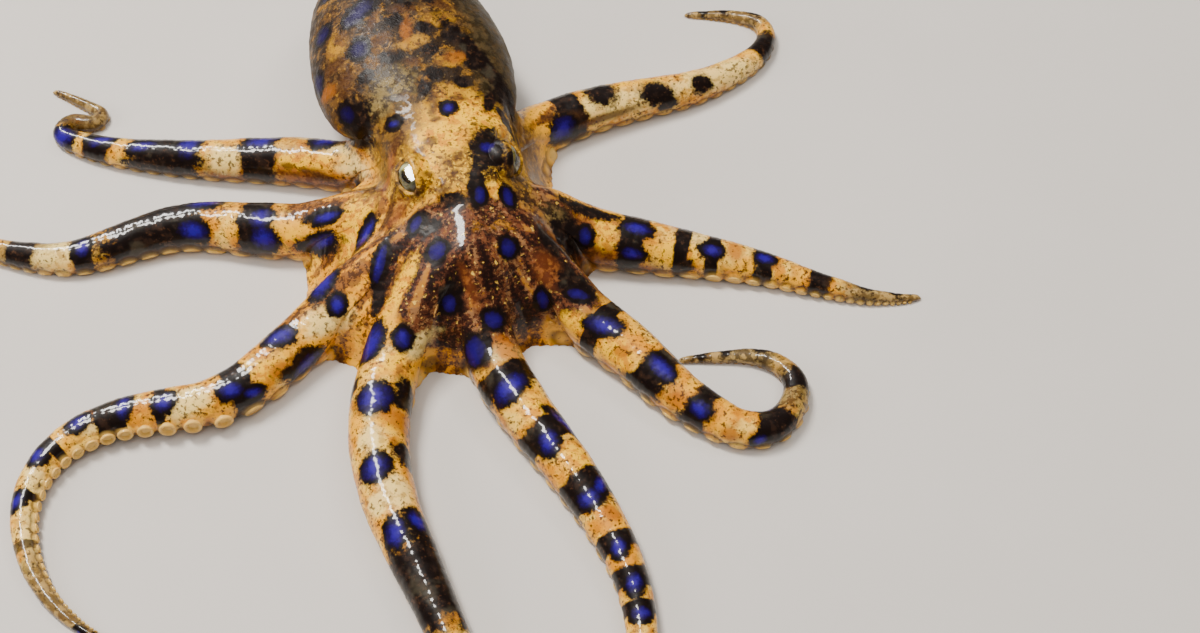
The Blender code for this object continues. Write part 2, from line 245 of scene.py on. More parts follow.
# Markings seen in the photograph, as ovals: x, y, half length, half width and tilt (rising to the right), in
# its pixels. Dry places have less wet shine. The crown's ovals make the dark brown ground between the arms.
MARKINGS = {
    "blue": (
        (326, 217, 13, 5, 0), (321, 242, 14, 7, 32), (366, 234, 13, 4, 42), (380, 262, 19, 5, 78),
        (437, 251, 8, 9, 0), (508, 248, 7, 9, 0), (449, 303, 7, 9, 0), (494, 320, 9, 9, 0),
        (323, 284, 15, 6, 34), (337, 304, 7, 10, 0), (371, 343, 20, 8, 62), (403, 338, 8, 10, 0),
        (474, 352, 15, 9, 90), (374, 397, 18, 14, 12), (509, 387, 21, 11, 52), (548, 441, 13, 10, 100),
        (374, 467, 15, 11, 30), (395, 533, 15, 10, 95), (418, 521, 12, 6, 115), (588, 498, 12, 9, 20),
        (601, 484, 8, 7, 60), (618, 546, 10, 8, 100), (634, 582, 11, 9, 100), (641, 613, 10, 7, 10),
        (566, 424, 8, 4, 105), (543, 300, 9, 6, 90), (578, 294, 11, 5, -8), (604, 325, 18, 9, -12),
        (661, 367, 16, 9, -52), (700, 409, 11, 9, -30), (637, 228, 14, 6, -15), (632, 254, 11, 6, -10),
        (712, 250, 10, 6, -10), (765, 258, 10, 5, -10), (416, 224, 8, 5, 80), (480, 195, 9, 5, 90),
        (508, 197, 9, 5, 90), (279, 336, 15, 8, 33), (231, 390, 12, 9, 15), (253, 393, 10, 5, 5),
        (163, 402, 9, 9, 0), (122, 405, 11, 7, 100), (77, 422, 10, 6, 15), (37, 455, 9, 6, 40),
        (16, 501, 7, 5, 90), (563, 131, 13, 12, 20), (261, 141, 15, 5, 0), (325, 141, 13, 5, 0),
        (189, 144, 11, 8, 0), (143, 146, 14, 5, 0), (101, 140, 13, 4, 0), (60, 137, 11, 11, 0),
        (260, 217, 12, 9, 0), (264, 240, 13, 11, 0), (193, 231, 14, 9, 0), (82, 247, 7, 9, 0),
        (205, 203, 16, 4, 12), (322, 36, 10, 5, 72), (359, 12, 12, 8, 80), (359, 49, 9, 8, 30),
        (318, 84, 10, 6, 88), (347, 115, 8, 8, 0), (394, 124, 6, 4, 0), (448, 108, 6, 5, 0),
        (487, 147, 6, 7, 60), (306, 365, 9, 7, 0), (585, 236, 9, 6, 90), (760, 441, 7, 5, 0),
    ),
    # Most dark ovals are the skin's own dark marks. Some are painted shade: (357, 126) a painted shadow in
    # the pocket under the mantle's edge, (480, 60) and (508, 105) shade down the mantle's +X edge, and (508,
    # 126) and (511, 158) a painted shadow in the groove beside the far eye.
    "dark": (
        (323, 215, 22, 9, 0), (320, 244, 21, 12, 20), (381, 262, 36, 8, 78), (452, 297, 20, 12, 95),
        (578, 286, 24, 13, -25), (646, 384, 18, 11, -5), (690, 424, 15, 8, -10), (390, 57, 12, 7, 10),
        (424, 27, 10, 6, 0), (430, 49, 9, 6, 10), (434, 73, 10, 7, 0), (424, 87, 8, 8, 0),
        (366, 76, 9, 7, 30), (452, 37, 11, 6, -25), (462, 82, 9, 6, 0), (490, 101, 11, 7, 60),
        (475, 63, 10, 7, 30), (394, 20, 9, 7, 0), (357, 126, 24, 19, 70), (488, 148, 24, 19, 80),
        (476, 182, 26, 9, 85), (480, 60, 60, 8, -62), (508, 105, 34, 9, -68), (408, 398, 16, 10, 80),
        (406, 457, 14, 8, 100), (352, 392, 10, 5, 85), (350, 465, 10, 4, 80), (602, 484, 14, 12, 60),
        (570, 425, 14, 9, 105), (652, 573, 12, 6, 95), (585, 236, 15, 11, 90), (588, 211, 34, 6, -4),
        (568, 240, 20, 12, 80), (683, 266, 11, 9, 0), (640, 386, 15, 9, 0), (420, 525, 18, 11, 115),
        (433, 580, 22, 15, -60), (408, 575, 26, 30, 0), (160, 217, 54, 7, 16), (160, 248, 48, 9, 2),
        (508, 126, 8, 4, 80), (511, 158, 8, 4, 80), (378, 300, 18, 7, 95), (455, 200, 16, 8, 0),
        (548, 240, 14, 6, 100), (425, 227, 16, 10, 0), (600, 91, 17, 11, 0), (656, 93, 18, 13, 0),
        (702, 84, 11, 10, 0), (668, 104, 10, 7, 0), (303, 358, 14, 8, 20), (487, 345, 22, 6, 95),
        (405, 403, 14, 8, 0), (290, 372, 12, 6, 20),
    ),
    "gold": (
        (300, 252, 20, 12, 0), (310, 160, 36, 9, 0), (430, 545, 10, 8, 0), (455, 92, 22, 9, 0),
        (468, 112, 32, 20, 25), (440, 138, 26, 17, 30), (430, 165, 12, 10, 0), (438, 19, 13, 7, 20),
        (412, 42, 15, 6, 20), (452, 61, 18, 5, 10), (336, 46, 12, 8, 40), (402, 286, 32, 6, 68),
        (355, 230, 24, 14, 45), (495, 190, 8, 10, 90), (385, 362, 25, 10, 15), (398, 425, 16, 9, 0),
        (580, 325, 18, 10, -20), (618, 355, 20, 13, -35), (605, 232, 13, 16, 0), (676, 252, 22, 15, -5),
        (535, 410, 16, 12, -50), (580, 458, 16, 10, -60), (268, 368, 18, 10, 30), (345, 210, 18, 7, 20),
    ),
    "orange": (
        (404, 425, 12, 10, 0), (676, 400, 13, 9, -20), (735, 250, 9, 9, 0), (282, 370, 13, 8, 10),
        (98, 411, 10, 8, 0), (429, 541, 8, 8, 0), (622, 352, 8, 6, 0), (730, 435, 10, 7, -20),
        (406, 28, 6, 12, 0), (456, 57, 12, 6, 20), (326, 94, 7, 7, 0), (508, 350, 14, 10, 0),
        (612, 512, 10, 8, -60),
    ),
    "pale": (
        (182, 402, 26, 14, 10), (90, 425, 14, 8, 25), (36, 480, 18, 9, 90), (35, 540, 30, 10, 90),
        (150, 152, 22, 5, 0), (326, 322, 26, 14, 20), (300, 275, 12, 9, 30), (372, 412, 9, 7, 0),
        (370, 437, 12, 14, 0), (505, 352, 16, 9, 20), (695, 238, 20, 10, -10), (395, 492, 18, 16, 0),
        (632, 100, 60, 13, 12), (722, 74, 46, 12, 22), (60, 252, 30, 12, 0), (378, 503, 12, 12, 0),
        (160, 225, 18, 11, 0), (420, 345, 22, 10, 20), (380, 358, 20, 8, 20), (495, 190, 8, 4, 95),
        (505, 192, 7, 3, 95), (345, 160, 26, 12, -20), (225, 160, 17, 14, 0),
    ),
    # Brown specks and lines; (390, 212) is painted shade in the groove between the head and the web beside
    # it.
    "brown": (
        (430, 141, 7, 5, 0), (418, 151, 7, 4, 0), (470, 142, 4, 3, 0), (459, 155, 6, 4, 0),
        (396, 143, 6, 8, 0), (416, 193, 7, 7, 0), (390, 212, 24, 3, 84), (436, 119, 6, 3, 0),
        (474, 124, 3, 2, 0), (448, 163, 7, 3, -20), (428, 174, 5, 3, 0), (455, 172, 4, 4, 0),
        (288, 166, 7, 3, 0), (306, 171, 7, 3, -10), (325, 178, 16, 4, -12), (405, 97, 6, 5, 0),
        (434, 108, 5, 9, 0), (458, 98, 9, 3, 0), (606, 117, 36, 4, 10), (560, 118, 20, 6, 12),
        (500, 160, 9, 8, 0), (442, 190, 8, 4, 0), (345, 84, 6, 14, 0), (333, 68, 12, 5, 20),
        (412, 62, 9, 4, 0), (378, 40, 12, 5, 30), (340, 38, 8, 4, 30), (402, 8, 14, 5, 0),
        (440, 4, 12, 4, -10), (372, 20, 4, 10, 0),
    ),
    # Brown mottling; where the mantle meets the head on the -X side, (386, 146) and (385, 180), and down the
    # head's +X side, (530, 165) and (514, 180), these ovals also paint its shade.
    "umber": (
        (386, 146, 34, 17, 88), (402, 122, 24, 15, 70), (385, 180, 16, 10, 88), (530, 165, 44, 15, -82),
        (514, 180, 26, 12, -80), (336, 78, 44, 20, 84), (350, 108, 28, 18, 60), (334, 22, 24, 14, 60),
        (445, 15, 30, 10, -20), (400, 170, 30, 5, 88), (372, 60, 30, 12, 60), (415, 140, 14, 10, 60),
    ),
    # Dark red brown: (389, 174) is painted shade in the groove between the head and the web, and (312, 181)
    # under arm A's root is partly painted shade.
    "russet": (
        (389, 174, 30, 4, 88), (504, 135, 14, 5, 80), (470, 288, 26, 5, -72), (575, 256, 26, 14, 0),
        (640, 270, 26, 7, -5), (600, 225, 26, 10, 0), (548, 270, 20, 12, -60), (312, 181, 46, 11, -8),
        (230, 178, 22, 6, 0), (395, 215, 18, 8, 70), (300, 395, 20, 6, 30), (345, 255, 16, 6, 60),
    ),
    # Grey olive ovals: on the arms' ends this is their own colour, while (393, 86) and (380, 106) on the
    # mantle and (150, 222) on arm B are a painted soft sheen, pale where the wet skin would shine.
    "ash": (
        (393, 86, 26, 20, 40), (380, 106, 18, 12, 30), (560, 235, 30, 12, -70), (28, 250, 40, 16, 0),
        (150, 222, 22, 12, 20), (735, 32, 44, 26, 0), (790, 385, 34, 30, 0), (748, 362, 30, 10, 0),
        (78, 108, 30, 12, -35), (40, 540, 60, 14, 80),
    ),
    "dry": (
        (429, 226, 17, 13, 0), (500, 148, 15, 12, 0),
    ),
    "crown": (
        (500, 285, 74, 62, 0), (434, 228, 44, 22, 12), (548, 232, 62, 22, -66), (486, 196, 34, 17, 85),
        (520, 178, 40, 15, -75), (440, 300, 36, 42, 0), (560, 285, 44, 26, -40), (455, 335, 50, 16, 0),
        (388, 262, 42, 9, 76),
    ),
}
# Dark bands round the arms, from one pixel to another along x (axis 0) or y (axis 1), to the frame's edge.
ARM_BANDS = (
    ("arm_right_4", 0, ((278, 243), (203, 131), (113, 88), (70, 47))),
    ("arm_right_3", 0, ((276, 243), (209, 108), (93, 73))),
    ("arm_right_2", 0, ((250, 226), (167, 157), (126, 119))),
    ("arm_right_2", 1, ((418, 426), (450, 459), (497, 506), (545, 556), (590, 600))),
    ("arm_right_1", 1, ((552, 640),)),
    ("arm_left_1", 1, ((378, 398), (432, 452), (482, 510), (540, 556), (572, 592), (606, 620))),
    ("arm_left_2", 0, ((594, 612), (650, 668), (694, 714))),
    ("arm_left_3", 0, ((622, 646), (676, 690), (706, 720), (756, 774))),
    ("arm_left_4", 0, ((540, 578), (752, 768))),
)
BAND_GAP, BAND_WIDTH = 1.1, 0.8  # of the arm's width, beyond the frame
BARE_END = 2.0
FAR = 4.0

# Markings that the photograph doesn't show: how far apart, how large, and the seed of their places. Then the
# blue spots' dark rim, how far the skin may face away and be shown, and the most that a slope stretches.
FAR_BLUE = (6.5, 1.15, 11)
FAR_GOLD = (5.0, 2.0, 12)
FAR_DARK = (3.2, 1.5, 13)
FAR_TRIES = 900
FAR_LENGTH = 1.25
HIDDEN_TURNS = (-72, 0, 72)
HALO_WIDTH = 0.75
TURNED_AWAY = -0.12
LONGEST_SLANT = 1.9

# The streaks that run out over the crown: how fine they are round it and along it.
STREAK_TURN = 9.0
STREAK_RUN = 0.11

# Colours that more than one ground uses, and those of the cups and the blue spots.
CREAM = (0.84, 0.39, 0.012)
PALE_CREAM = (0.88, 0.54, 0.085)
GOLD = (0.66, 0.250, 0.002)
ORANGE = (0.40, 0.115, 0.003)
BROWN = (0.040, 0.013, 0.004)
RED_BROWN = (0.13, 0.040, 0.014)
NEAR_BLACK = (0.0055, 0.0026, 0.0020)
OLIVE_BROWN = (0.022, 0.011, 0.004)
UMBER = (0.030, 0.013, 0.0045)
LIGHT_UMBER = (0.115, 0.052, 0.012)
CUP = (0.76, 0.47, 0.11)
BLUE = (0.006, 0.0004, 0.042)
BRIGHT_BLUE = (0.018, 0.0016, 0.200)
CROWN_BLUE = (0.007, 0.0004, 0.060)
MANTLE_BLUE = (0.004, 0.0008, 0.018)

# The eye's colours, and the floor's darkest and palest.
EYE_BACK = (0.16, 0.12, 0.05)
IRIS_GOLD = (0.62, 0.37, 0.05)
IRIS_GREEN = (0.30, 0.34, 0.10)
IRIS_SPECKS = (0.03, 0.015, 0.006)
IRIS_RIM = (0.78, 0.80, 0.46)
SLIT_BLACK = (0.002, 0.002, 0.002)
FLOOR_COLOURS = ((0.570, 0.535, 0.505), (0.590, 0.555, 0.525))

# The skin's noises: lumps to a metre, detail and roughness.
NOISES = {
    "big": (260.0, 3.0, 0.5), "middle": (800.0, 3.0, 0.6), "small": (2300.0, 2.0, 0.6),
    "tiny": (5200.0, 1.0, 0.5), "flecks": (1500.0, 3.0, 0.6), "broad": (190.0, 2.0, 0.5),
    "golden": (330.0, 3.0, 0.6), "warm": (420.0, 2.0, 0.5), "pearls": (1250.0, 2.0, 0.5),
    "blotches": (430.0, 4.0, 0.62), "grains": (1300.0, 2.0, 0.5),
}
# What each ground is painted with: its first colour, then the colours laid over it. A row says which noise
# shows the colour, where it begins and where it is full, its strength, the colour, and, where the crown's
# streaks pull at it, by how much.
GROUNDS = {
    "arms": (
        PALE_CREAM,
        ("big", 0.38, 0.58, 1.0, CREAM),
        ("golden", 0.46, 0.60, 1.0, GOLD),
        ("warm", 0.55, 0.68, 0.5, ORANGE),
        ("middle", 0.52, 0.64, 0.45, (0.26, 0.11, 0.012)),
        ("flecks", 0.565, 0.625, 0.9, BROWN),
        ("small", 0.59, 0.66, 0.7, RED_BROWN),
    ),
    "roots": (
        GOLD,
        ("middle", 0.40, 0.60, 1.0, CREAM, 0.22),
        ("middle", 0.53, 0.66, 0.8, RED_BROWN, -0.30),
        ("flecks", 0.54, 0.61, 0.85, BROWN, -0.10),
    ),
    "web": (
        (0.034, 0.0095, 0.0050),
        ("middle", 0.42, 0.60, 1.0, RED_BROWN, 0.16),
        ("flecks", 0.54, 0.64, 0.85, (0.26, 0.120, 0.045), 0.20),
        ("middle", 0.68, 0.82, 0.7, (0.42, 0.165, 0.010), 0.34),
        ("pearls", 0.63, 0.71, 0.75, PALE_CREAM),
        ("small", 0.50, 0.60, 0.8, NEAR_BLACK, -0.16),
    ),
    "face": (
        (0.24, 0.105, 0.010),
        ("middle", 0.40, 0.56, 1.0, (0.58, 0.29, 0.006)),
        ("flecks", 0.51, 0.58, 0.85, (0.10, 0.040, 0.006)),
        ("small", 0.58, 0.66, 0.8, (0.84, 0.50, 0.035)),
    ),
    "back": (
        OLIVE_BROWN,
        ("blotches", 0.49, 0.60, 1.0, (0.15, 0.070, 0.010)),
        ("torn_blotches", 0.59, 0.68, 0.85, (0.32, 0.135, 0.006)),
        ("small", 0.55, 0.63, 0.7, NEAR_BLACK),
        ("grains", 0.62, 0.70, 0.5, (0.24, 0.15, 0.045)),
    ),
    "umber": (
        UMBER,
        ("middle", 0.42, 0.58, 1.0, LIGHT_UMBER),
        ("flecks", 0.54, 0.62, 0.75, (0.34, 0.165, 0.018)),
        ("small", 0.57, 0.65, 0.6, NEAR_BLACK),
    ),
    # Grey olive with pale specks: the arms' grey ends, and a painted sheen on the mantle and on arm B.
    "ash": (
        (0.042, 0.027, 0.012),
        ("middle", 0.42, 0.60, 1.0, (0.22, 0.150, 0.046)),
        ("flecks", 0.55, 0.63, 0.8, OLIVE_BROWN),
        ("small", 0.60, 0.68, 0.6, (0.40, 0.280, 0.090)),
    ),
    "russet": ((0.10, 0.024, 0.006), ("middle", 0.42, 0.60, 1.0, (0.27, 0.085, 0.016))),
    "pale": (
        (0.90, 0.66, 0.22),
        ("middle", 0.50, 0.64, 1.0, (0.55, 0.36, 0.10)),
        ("flecks", 0.57, 0.63, 0.8, BROWN),
    ),
    "gold": (
        (0.96, 0.50, 0.002),
        ("middle", 0.46, 0.58, 1.0, GOLD),
        ("flecks", 0.56, 0.62, 0.85, BROWN),
        ("small", 0.60, 0.67, 0.7, RED_BROWN),
    ),
    "gold on the mantle": (
        (0.30, 0.135, 0.008),
        ("middle", 0.44, 0.58, 1.0, LIGHT_UMBER),
        ("flecks", 0.56, 0.62, 0.85, UMBER),
    ),
    "orange": (ORANGE, ("flecks", 0.53, 0.60, 0.85, BROWN, 0.10)),
    "orange on the mantle": ((0.20, 0.062, 0.006),),
    "tips": (
        (0.10, 0.066, 0.026),
        ("middle", 0.45, 0.58, 1.0, (0.38, 0.250, 0.085)),
        ("flecks", 0.55, 0.62, 0.8, OLIVE_BROWN),
    ),
    # Red brown, darker than the arms' cream: the low sides and the undersides.
    "low_and_under": (
        (0.40, 0.17, 0.045),
        ("middle", 0.44, 0.60, 1.0, (0.54, 0.270, 0.070)),
        ("flecks", 0.56, 0.64, 0.6, RED_BROWN),
        ("small", 0.60, 0.70, 0.5, BROWN),
    ),
    # Painted shade: the dark olive laid down the mantle's +X side.
    "shaded_flank": ((0.022, 0.015, 0.006), ("middle", 0.45, 0.60, 1.0, (0.060, 0.040, 0.017))),
    # Near black with brown flecks; its pale grey mottles also paint a wet sheen on the dark bands.
    "dark": (
        NEAR_BLACK,
        ("middle", 0.50, 0.66, 0.8, (0.024, 0.011, 0.006)),
        ("flecks", 0.60, 0.66, 0.45, (0.085, 0.036, 0.014)),
        ("big", 0.58, 0.70, 0.5, (0.060, 0.050, 0.032)),
    ),
    "brown": (BROWN, ("small", 0.40, 0.60, 1.0, (0.085, 0.034, 0.008))),
    "halo": (NEAR_BLACK,),
}
# The ovals as they lie over one another, first those under the bands: how soft, strong and torn each edge is.
UNDER_BANDS = (
    ("umber", 0.5, 0.9, 1.1), ("ash", 0.45, 0.9, 1.0), ("russet", 0.5, 0.9, 0.9),
    ("pale", 0.4, 0.8, 0.9), ("gold", 0.4, 0.95, 0.9), ("orange", 0.45, 0.85, 0.9),
)
OVER_BANDS = (("brown", 0.5, 0.85, 1.1), ("dark", 0.26, 1.0, 1.0), ("halo", 0.16, 1.0, 0.7))
ON_MANTLE = {"gold": 0.85, "orange": 0.6}

# The shine of the wet coat, and how much less of it the mantle, the head and the dry places have.
WETNESS = 0.7
DRY_MANTLE = 0.67
DRY_HEAD = 0.54
DRY_PLACES = 0.66

# The room: the floor's half size, the light around it, and each lamp's name, size, place, watts and colour.
# One lamp is only seen mirrored in the wet skin, some are never mirrored, and one lights only the eyes.
FLOOR_SIZE = 1500.0
SURROUNDINGS = ((1.0, 0.97, 0.93, 1.0), 0.10)
LAMPS = (
    ("key_softbox", (90, 230), (-175, 190, 600), 6.2, (1.0, 0.96, 0.89)),
    ("rear_strip", (80, 340), (-310, 560, 560), 8.0, (1.0, 0.98, 0.95)),
    ("right_fill", (160, 160), (370, 70, 520), 1.0, (1.0, 0.96, 0.89)),
    ("side_fill", (190, 230), (-430, -10, 235), 1.0, (1.0, 0.97, 0.94)),
    ("catchlight", (620, 330), (-170, -10, 270), 70.0, (1.0, 0.98, 0.96)),
    ("top_fill", (700, 700), (0, -200, 700), 3.6, (1.0, 0.96, 0.90)),
)
ONLY_MIRRORED = ("rear_strip",)
NEVER_MIRRORED = ("right_fill", "side_fill", "top_fill")
ONLY_ON = {"catchlight": ("eye_right_cornea", "eye_left_cornea")}

# Small helpers.


def unit(vectors):
    """Vectors made one long."""
    vectors = np.asarray(vectors, float)
    return vectors / np.linalg.norm(vectors, axis=-1, keepdims=True)


def smoothstep(low, high, value):
    """0 below low, 1 above high, and a smooth rise between."""
    share = np.clip((value - low) / (high - low), 0.0, 1.0)
    return share * share * (3.0 - 2.0 * share)


def bell(value, middle, width):
    """1 at the middle, falling off smoothly to both sides."""
    return np.exp(-0.5 * ((value - middle) / width) ** 2)


def direction(heading):
    """The unit vector on the floor for a heading."""
    angle = math.radians(heading)
    return np.array((math.sin(angle), -math.cos(angle), 0.0))


def hashed(cells, seed):
    """A fixed number from -1 to 1 for each whole-number cell."""
    h = cells[..., 0] * 374761393 + cells[..., 1] * 668265263 + cells[..., 2] * 2147483647 + seed * 974634777
    h &= 0xFFFFFFFF
    h = ((h ^ (h >> 13)) * 1274126177) & 0xFFFFFFFF
    h = ((h ^ (h >> 15)) * 2246822519) & 0xFFFFFFFF
    return ((h ^ (h >> 16)) & 0xFFFF) / 32767.5 - 1.0


def noise(points, size, seed):
    """A smooth random field, about -1 to 1, whose lumps are about size across."""
    place = points / size
    cell = np.floor(place).astype(np.int64)
    part = place - cell
    ease = part * part * part * (part * (part * 6.0 - 15.0) + 10.0)
    total = np.zeros(len(points))
    for corner in np.ndindex(2, 2, 2):
        corner = np.array(corner)
        weight = np.prod(np.where(corner, ease, 1.0 - ease), axis=1)
        slope = 0.0
        for axis in range(3):
            slope = slope + hashed(cell + corner, seed * 3 + axis) * (part[:, axis] - corner[axis])
        total += weight * slope
    return total * 1.5


def cells(points, size, seed):
    """How far each point is from the nearest of many scattered points about size apart, in units of size."""
    place = points / size
    cell = np.floor(place).astype(np.int64)
    nearest = np.full(len(points), 9.0)
    for step in np.ndindex(3, 3, 3):
        near = cell + np.array(step) - 1
        away = np.zeros(len(points))
        for axis in range(3):
            seat = near[:, axis] + 0.5 + 0.38 * hashed(near, seed * 3 + axis)
            away += (seat - place[:, axis]) ** 2
        nearest = np.minimum(nearest, away)
    return np.sqrt(nearest)


def tree_of(places):
    """A tree that finds the nearest of the places."""
    tree = kdtree.KDTree(len(places))
    for i, place in enumerate(places):
        tree.insert(place, i)
    tree.balance()
    return tree


# The camera and the photograph's pixels.


def camera_axes():
    """The camera's place and its right, up and forward directions."""
    tilt, turn = math.radians(ELEVATION), math.radians(TURN)
    forward = np.array((
        math.cos(tilt) * math.sin(turn),
        math.cos(tilt) * math.cos(turn),
        -math.sin(tilt),
    ))
    right = np.array((math.cos(turn), -math.sin(turn), 0.0))
    up = np.cross(right, forward)
    place = np.array(AIM) - forward * DISTANCE
    return place, right, up, forward


def pixel_ray(x, y):
    """Where a pixel of the photograph looks from, and its direction."""
    place, right, up, forward = camera_axes()
    return place, unit(forward * FOCAL + right * (x - 0.5 * PHOTO[0]) - up * (y - 0.5 * PHOTO[1]))


def in_picture(spots):
    """How far right of the photograph's middle, and how far below it, a spot is seen, in its pixels."""
    place, right, up, forward = camera_axes()
    away = spots - place
    return np.stack((away @ right, -(away @ up))) * FOCAL / (away @ forward)


# The flesh's shape.


def walk(arm):
    """Rows of distance, x, y and heading along an arm's middle line."""
    x, y = arm["start"]
    heading = arm["heading"]
    run = 0.0
    rows = [(run, x, y, heading)]
    for length, turn in arm["bends"]:
        steps = max(1, round(length / WALK_STEP))
        for _ in range(steps):
            ahead = direction(heading + 0.5 * turn / steps)
            x += ahead[0] * length / steps
            y += ahead[1] * length / steps
            heading += turn / steps
            run += length / steps
            rows.append((run, x, y, heading))
    return np.array(rows)


def on_line(line, run):
    """An arm's middle line's x, y and heading at a distance along it."""
    return [np.interp(run, line[:, 0], line[:, k]) for k in (1, 2, 3)]


def arm_radius(arm, run, length):
    """Half the arm's width at a distance along it."""
    run = np.clip(run, 0.0, length)
    width = arm["width"] * (1.0 - (1.0 - ARM_TIP_SHARE) * (run / length) ** arm["taper"])
    into_tip = np.clip((run - (length - ARM_TIP_ROUNDING)) / ARM_TIP_ROUNDING, 0.0, 1.0)
    return 0.5 * width * np.sqrt(1.0 - ARM_TIP_CLOSING * into_tip ** 2)


def arm_ring(x, y, heading, radius, sides):
    """A section of an arm from its right side's foot over the top to its left side's."""
    side = direction(heading + 90.0)
    foot = math.acos(ARM_CENTRE_HEIGHT)
    angle = np.linspace(-math.pi + foot, math.pi - foot, sides)
    across = radius * np.sin(angle)
    up = radius * (ARM_CENTRE_HEIGHT + np.cos(angle))
    ring = np.zeros((sides, 3))
    ring[:] = (x, y, 0.0)
    ring += side * across[:, None]
    ring[:, 2] += np.maximum(up, 0.0)
    return ring


def lift_foot(ring, radius):
    """The same section with its flat foot held a little above the floor, for the suckers under it."""
    ring = ring.copy()
    ring[:, 2] = np.maximum(ring[:, 2], FOOT_LIFT * radius)
    return ring


def lofted(rings):
    """Vertices and faces of a closed body through rings with the same number of points."""
    count = len(rings[0])
    points = np.concatenate(rings)
    faces = []
    for k in range(len(rings) - 1):
        base = k * count
        for i in range(count):
            j = (i + 1) % count
            faces.append((base + i, base + j, base + count + j, base + count + i))
    faces.append(tuple(range(count - 1, -1, -1)))
    last = (len(rings) - 1) * count
    faces.append(tuple(range(last, last + count)))
    return points, faces


def arm_body(arm):
    """The arm as one closed tube, starting a little inside the crown."""
    rows = walk(arm)
    length = rows[-1, 0]
    runs = np.append(np.arange(0.0, length - ARM_TIP_ROUNDING, ARM_STEP),
                     length - ARM_TIP_ROUNDING * np.array(ARM_TIP_STOPS))
    rings = []
    for run in runs:
        x, y, heading = on_line(rows, run)
        radius = arm_radius(arm, run, length)
        rings.append(lift_foot(arm_ring(x, y, heading, radius, ARM_SIDES), radius))
    rings.insert(0, rings[0] - direction(arm["heading"]) * ARM_OVERLAP)
    return lofted(rings)


def smooth_station(back):
    """The trunk's shift, half width, top and bottom at a distance back."""
    rows = TRUNK_STATIONS
    last = len(rows) - 1
    k = max(i for i in range(last) if rows[i][0] <= back or i == 0)
    span = rows[k + 1][0] - rows[k][0]
    share = min(1.0, max(0.0, (back - rows[k][0]) / span))
    values = []
    for column in range(1, 5):
        before, after = rows[max(0, k - 1)], rows[min(last, k + 2)]
        here, there = rows[k], rows[k + 1]
        slope_a = (there[column] - before[column]) / (there[0] - before[0]) * span
        slope_b = (after[column] - here[column]) / (after[0] - here[0]) * span
        t2, t3 = share ** 2, share ** 3
        values.append(
            (2 * t3 - 3 * t2 + 1) * here[column]
            + (t3 - 2 * t2 + share) * slope_a
            + (3 * t2 - 2 * t3) * there[column]
            + (t3 - t2) * slope_b
        )
    return values


def end_rounding(back):
    """How much the trunk narrows at its two rounded ends."""
    into_tip = max(0.0, (back - (MANTLE_TIP - MANTLE_ROUNDING)) / MANTLE_ROUNDING)
    into_front = max(0.0, ((HEAD_FRONT + HEAD_ROUNDING) - back) / HEAD_ROUNDING)
    return math.sqrt(max(0.0, 1.0 - into_tip ** 2)) * math.sqrt(max(0.0, 1.0 - into_front ** 2))


def trunk_ring(back):
    """One upright section of the trunk."""
    shift, half_width, top, bottom = smooth_station(back)
    shrink = end_rounding(back)
    angle = np.linspace(0.0, 2.0 * math.pi, TRUNK_SIDES, endpoint=False)
    power = 2.0 / TRUNK_FULLNESS
    across = np.copysign(np.abs(np.cos(angle)) ** power, np.cos(angle))
    up = np.copysign(np.abs(np.sin(angle)) ** power, np.sin(angle))
    ring = np.zeros((TRUNK_SIDES, 3))
    ring[:, 0] = shift + half_width * shrink * across
    ring[:, 1] = back
    ring[:, 2] = 0.5 * (top + bottom) + 0.5 * (top - bottom) * shrink * up
    for name, centre in EYE_CENTRES.items():
        away = np.linalg.norm(ring - np.array(centre), axis=1)
        ring += unit(EYE_LOOKS[name]) * EYE_MOUND_HEIGHT * bell(away, 0.0, EYE_MOUND_WIDTH)[:, None]
    ring[:, 2] = np.maximum(ring[:, 2], 0.0)
    return ring


def trunk_at(backs):
    """The trunk's shift, half width, top and bottom at each distance back."""
    grid = np.linspace(HEAD_FRONT, MANTLE_TIP, TRUNK_GRID)
    table = np.array([smooth_station(y) for y in grid])
    return [np.interp(backs, grid, table[:, k]) for k in range(4)]


def trunk_body():
    """The head and the mantle as one closed body."""
    front, rear = HEAD_FRONT + TRUNK_END_GAP, MANTLE_TIP - TRUNK_END_GAP
    turn = 0.5 * math.pi
    nose = front + TRUNK_END_LENGTH * (1.0 - np.cos(turn * np.linspace(0.0, 1.0, NOSE_RINGS)))
    tip = rear - TRUNK_END_LENGTH + TRUNK_END_LENGTH * np.sin(turn * np.linspace(0.0, 1.0, REAR_RINGS))
    middle = np.arange(nose[-1] + TRUNK_STEP, tip[0] - 0.5 * TRUNK_STEP, TRUNK_STEP)
    return lofted([trunk_ring(y) for y in np.concatenate((nose, middle, tip))])


def funnel_body():
    """The funnel with its bore."""
    root, mouth = np.array(FUNNEL_ROOT), np.array(FUNNEL_MOUTH)
    along = unit(mouth - root)
    side = unit(np.cross(along, UP))
    up = np.cross(side, along)
    wide, narrow = FUNNEL_RADII
    stops = [(share, wide + (narrow - wide) * share) for share in np.linspace(0.0, 0.95, FUNNEL_RINGS)]
    stops += [(1.0, narrow - 0.25), (1.0, FUNNEL_BORE + 0.2), (0.9, FUNNEL_BORE), (0.6, 0.7 * FUNNEL_BORE)]
    angle = np.linspace(0.0, 2.0 * math.pi, FUNNEL_SIDES, endpoint=False)[:, None]
    rings = [root + (mouth - root) * share + (side * np.cos(angle) + up * np.sin(angle)) * radius
             for share, radius in stops]
    return lofted(rings)


def bezier(points, share):
    """Points on the cubic curve with four control points."""
    rest = 1.0 - share
    a, b, c, d = (np.asarray(p)[None, :] for p in points)
    return a * rest ** 3 + b * 3 * rest ** 2 * share + c * 3 * rest * share ** 2 + d * share ** 3


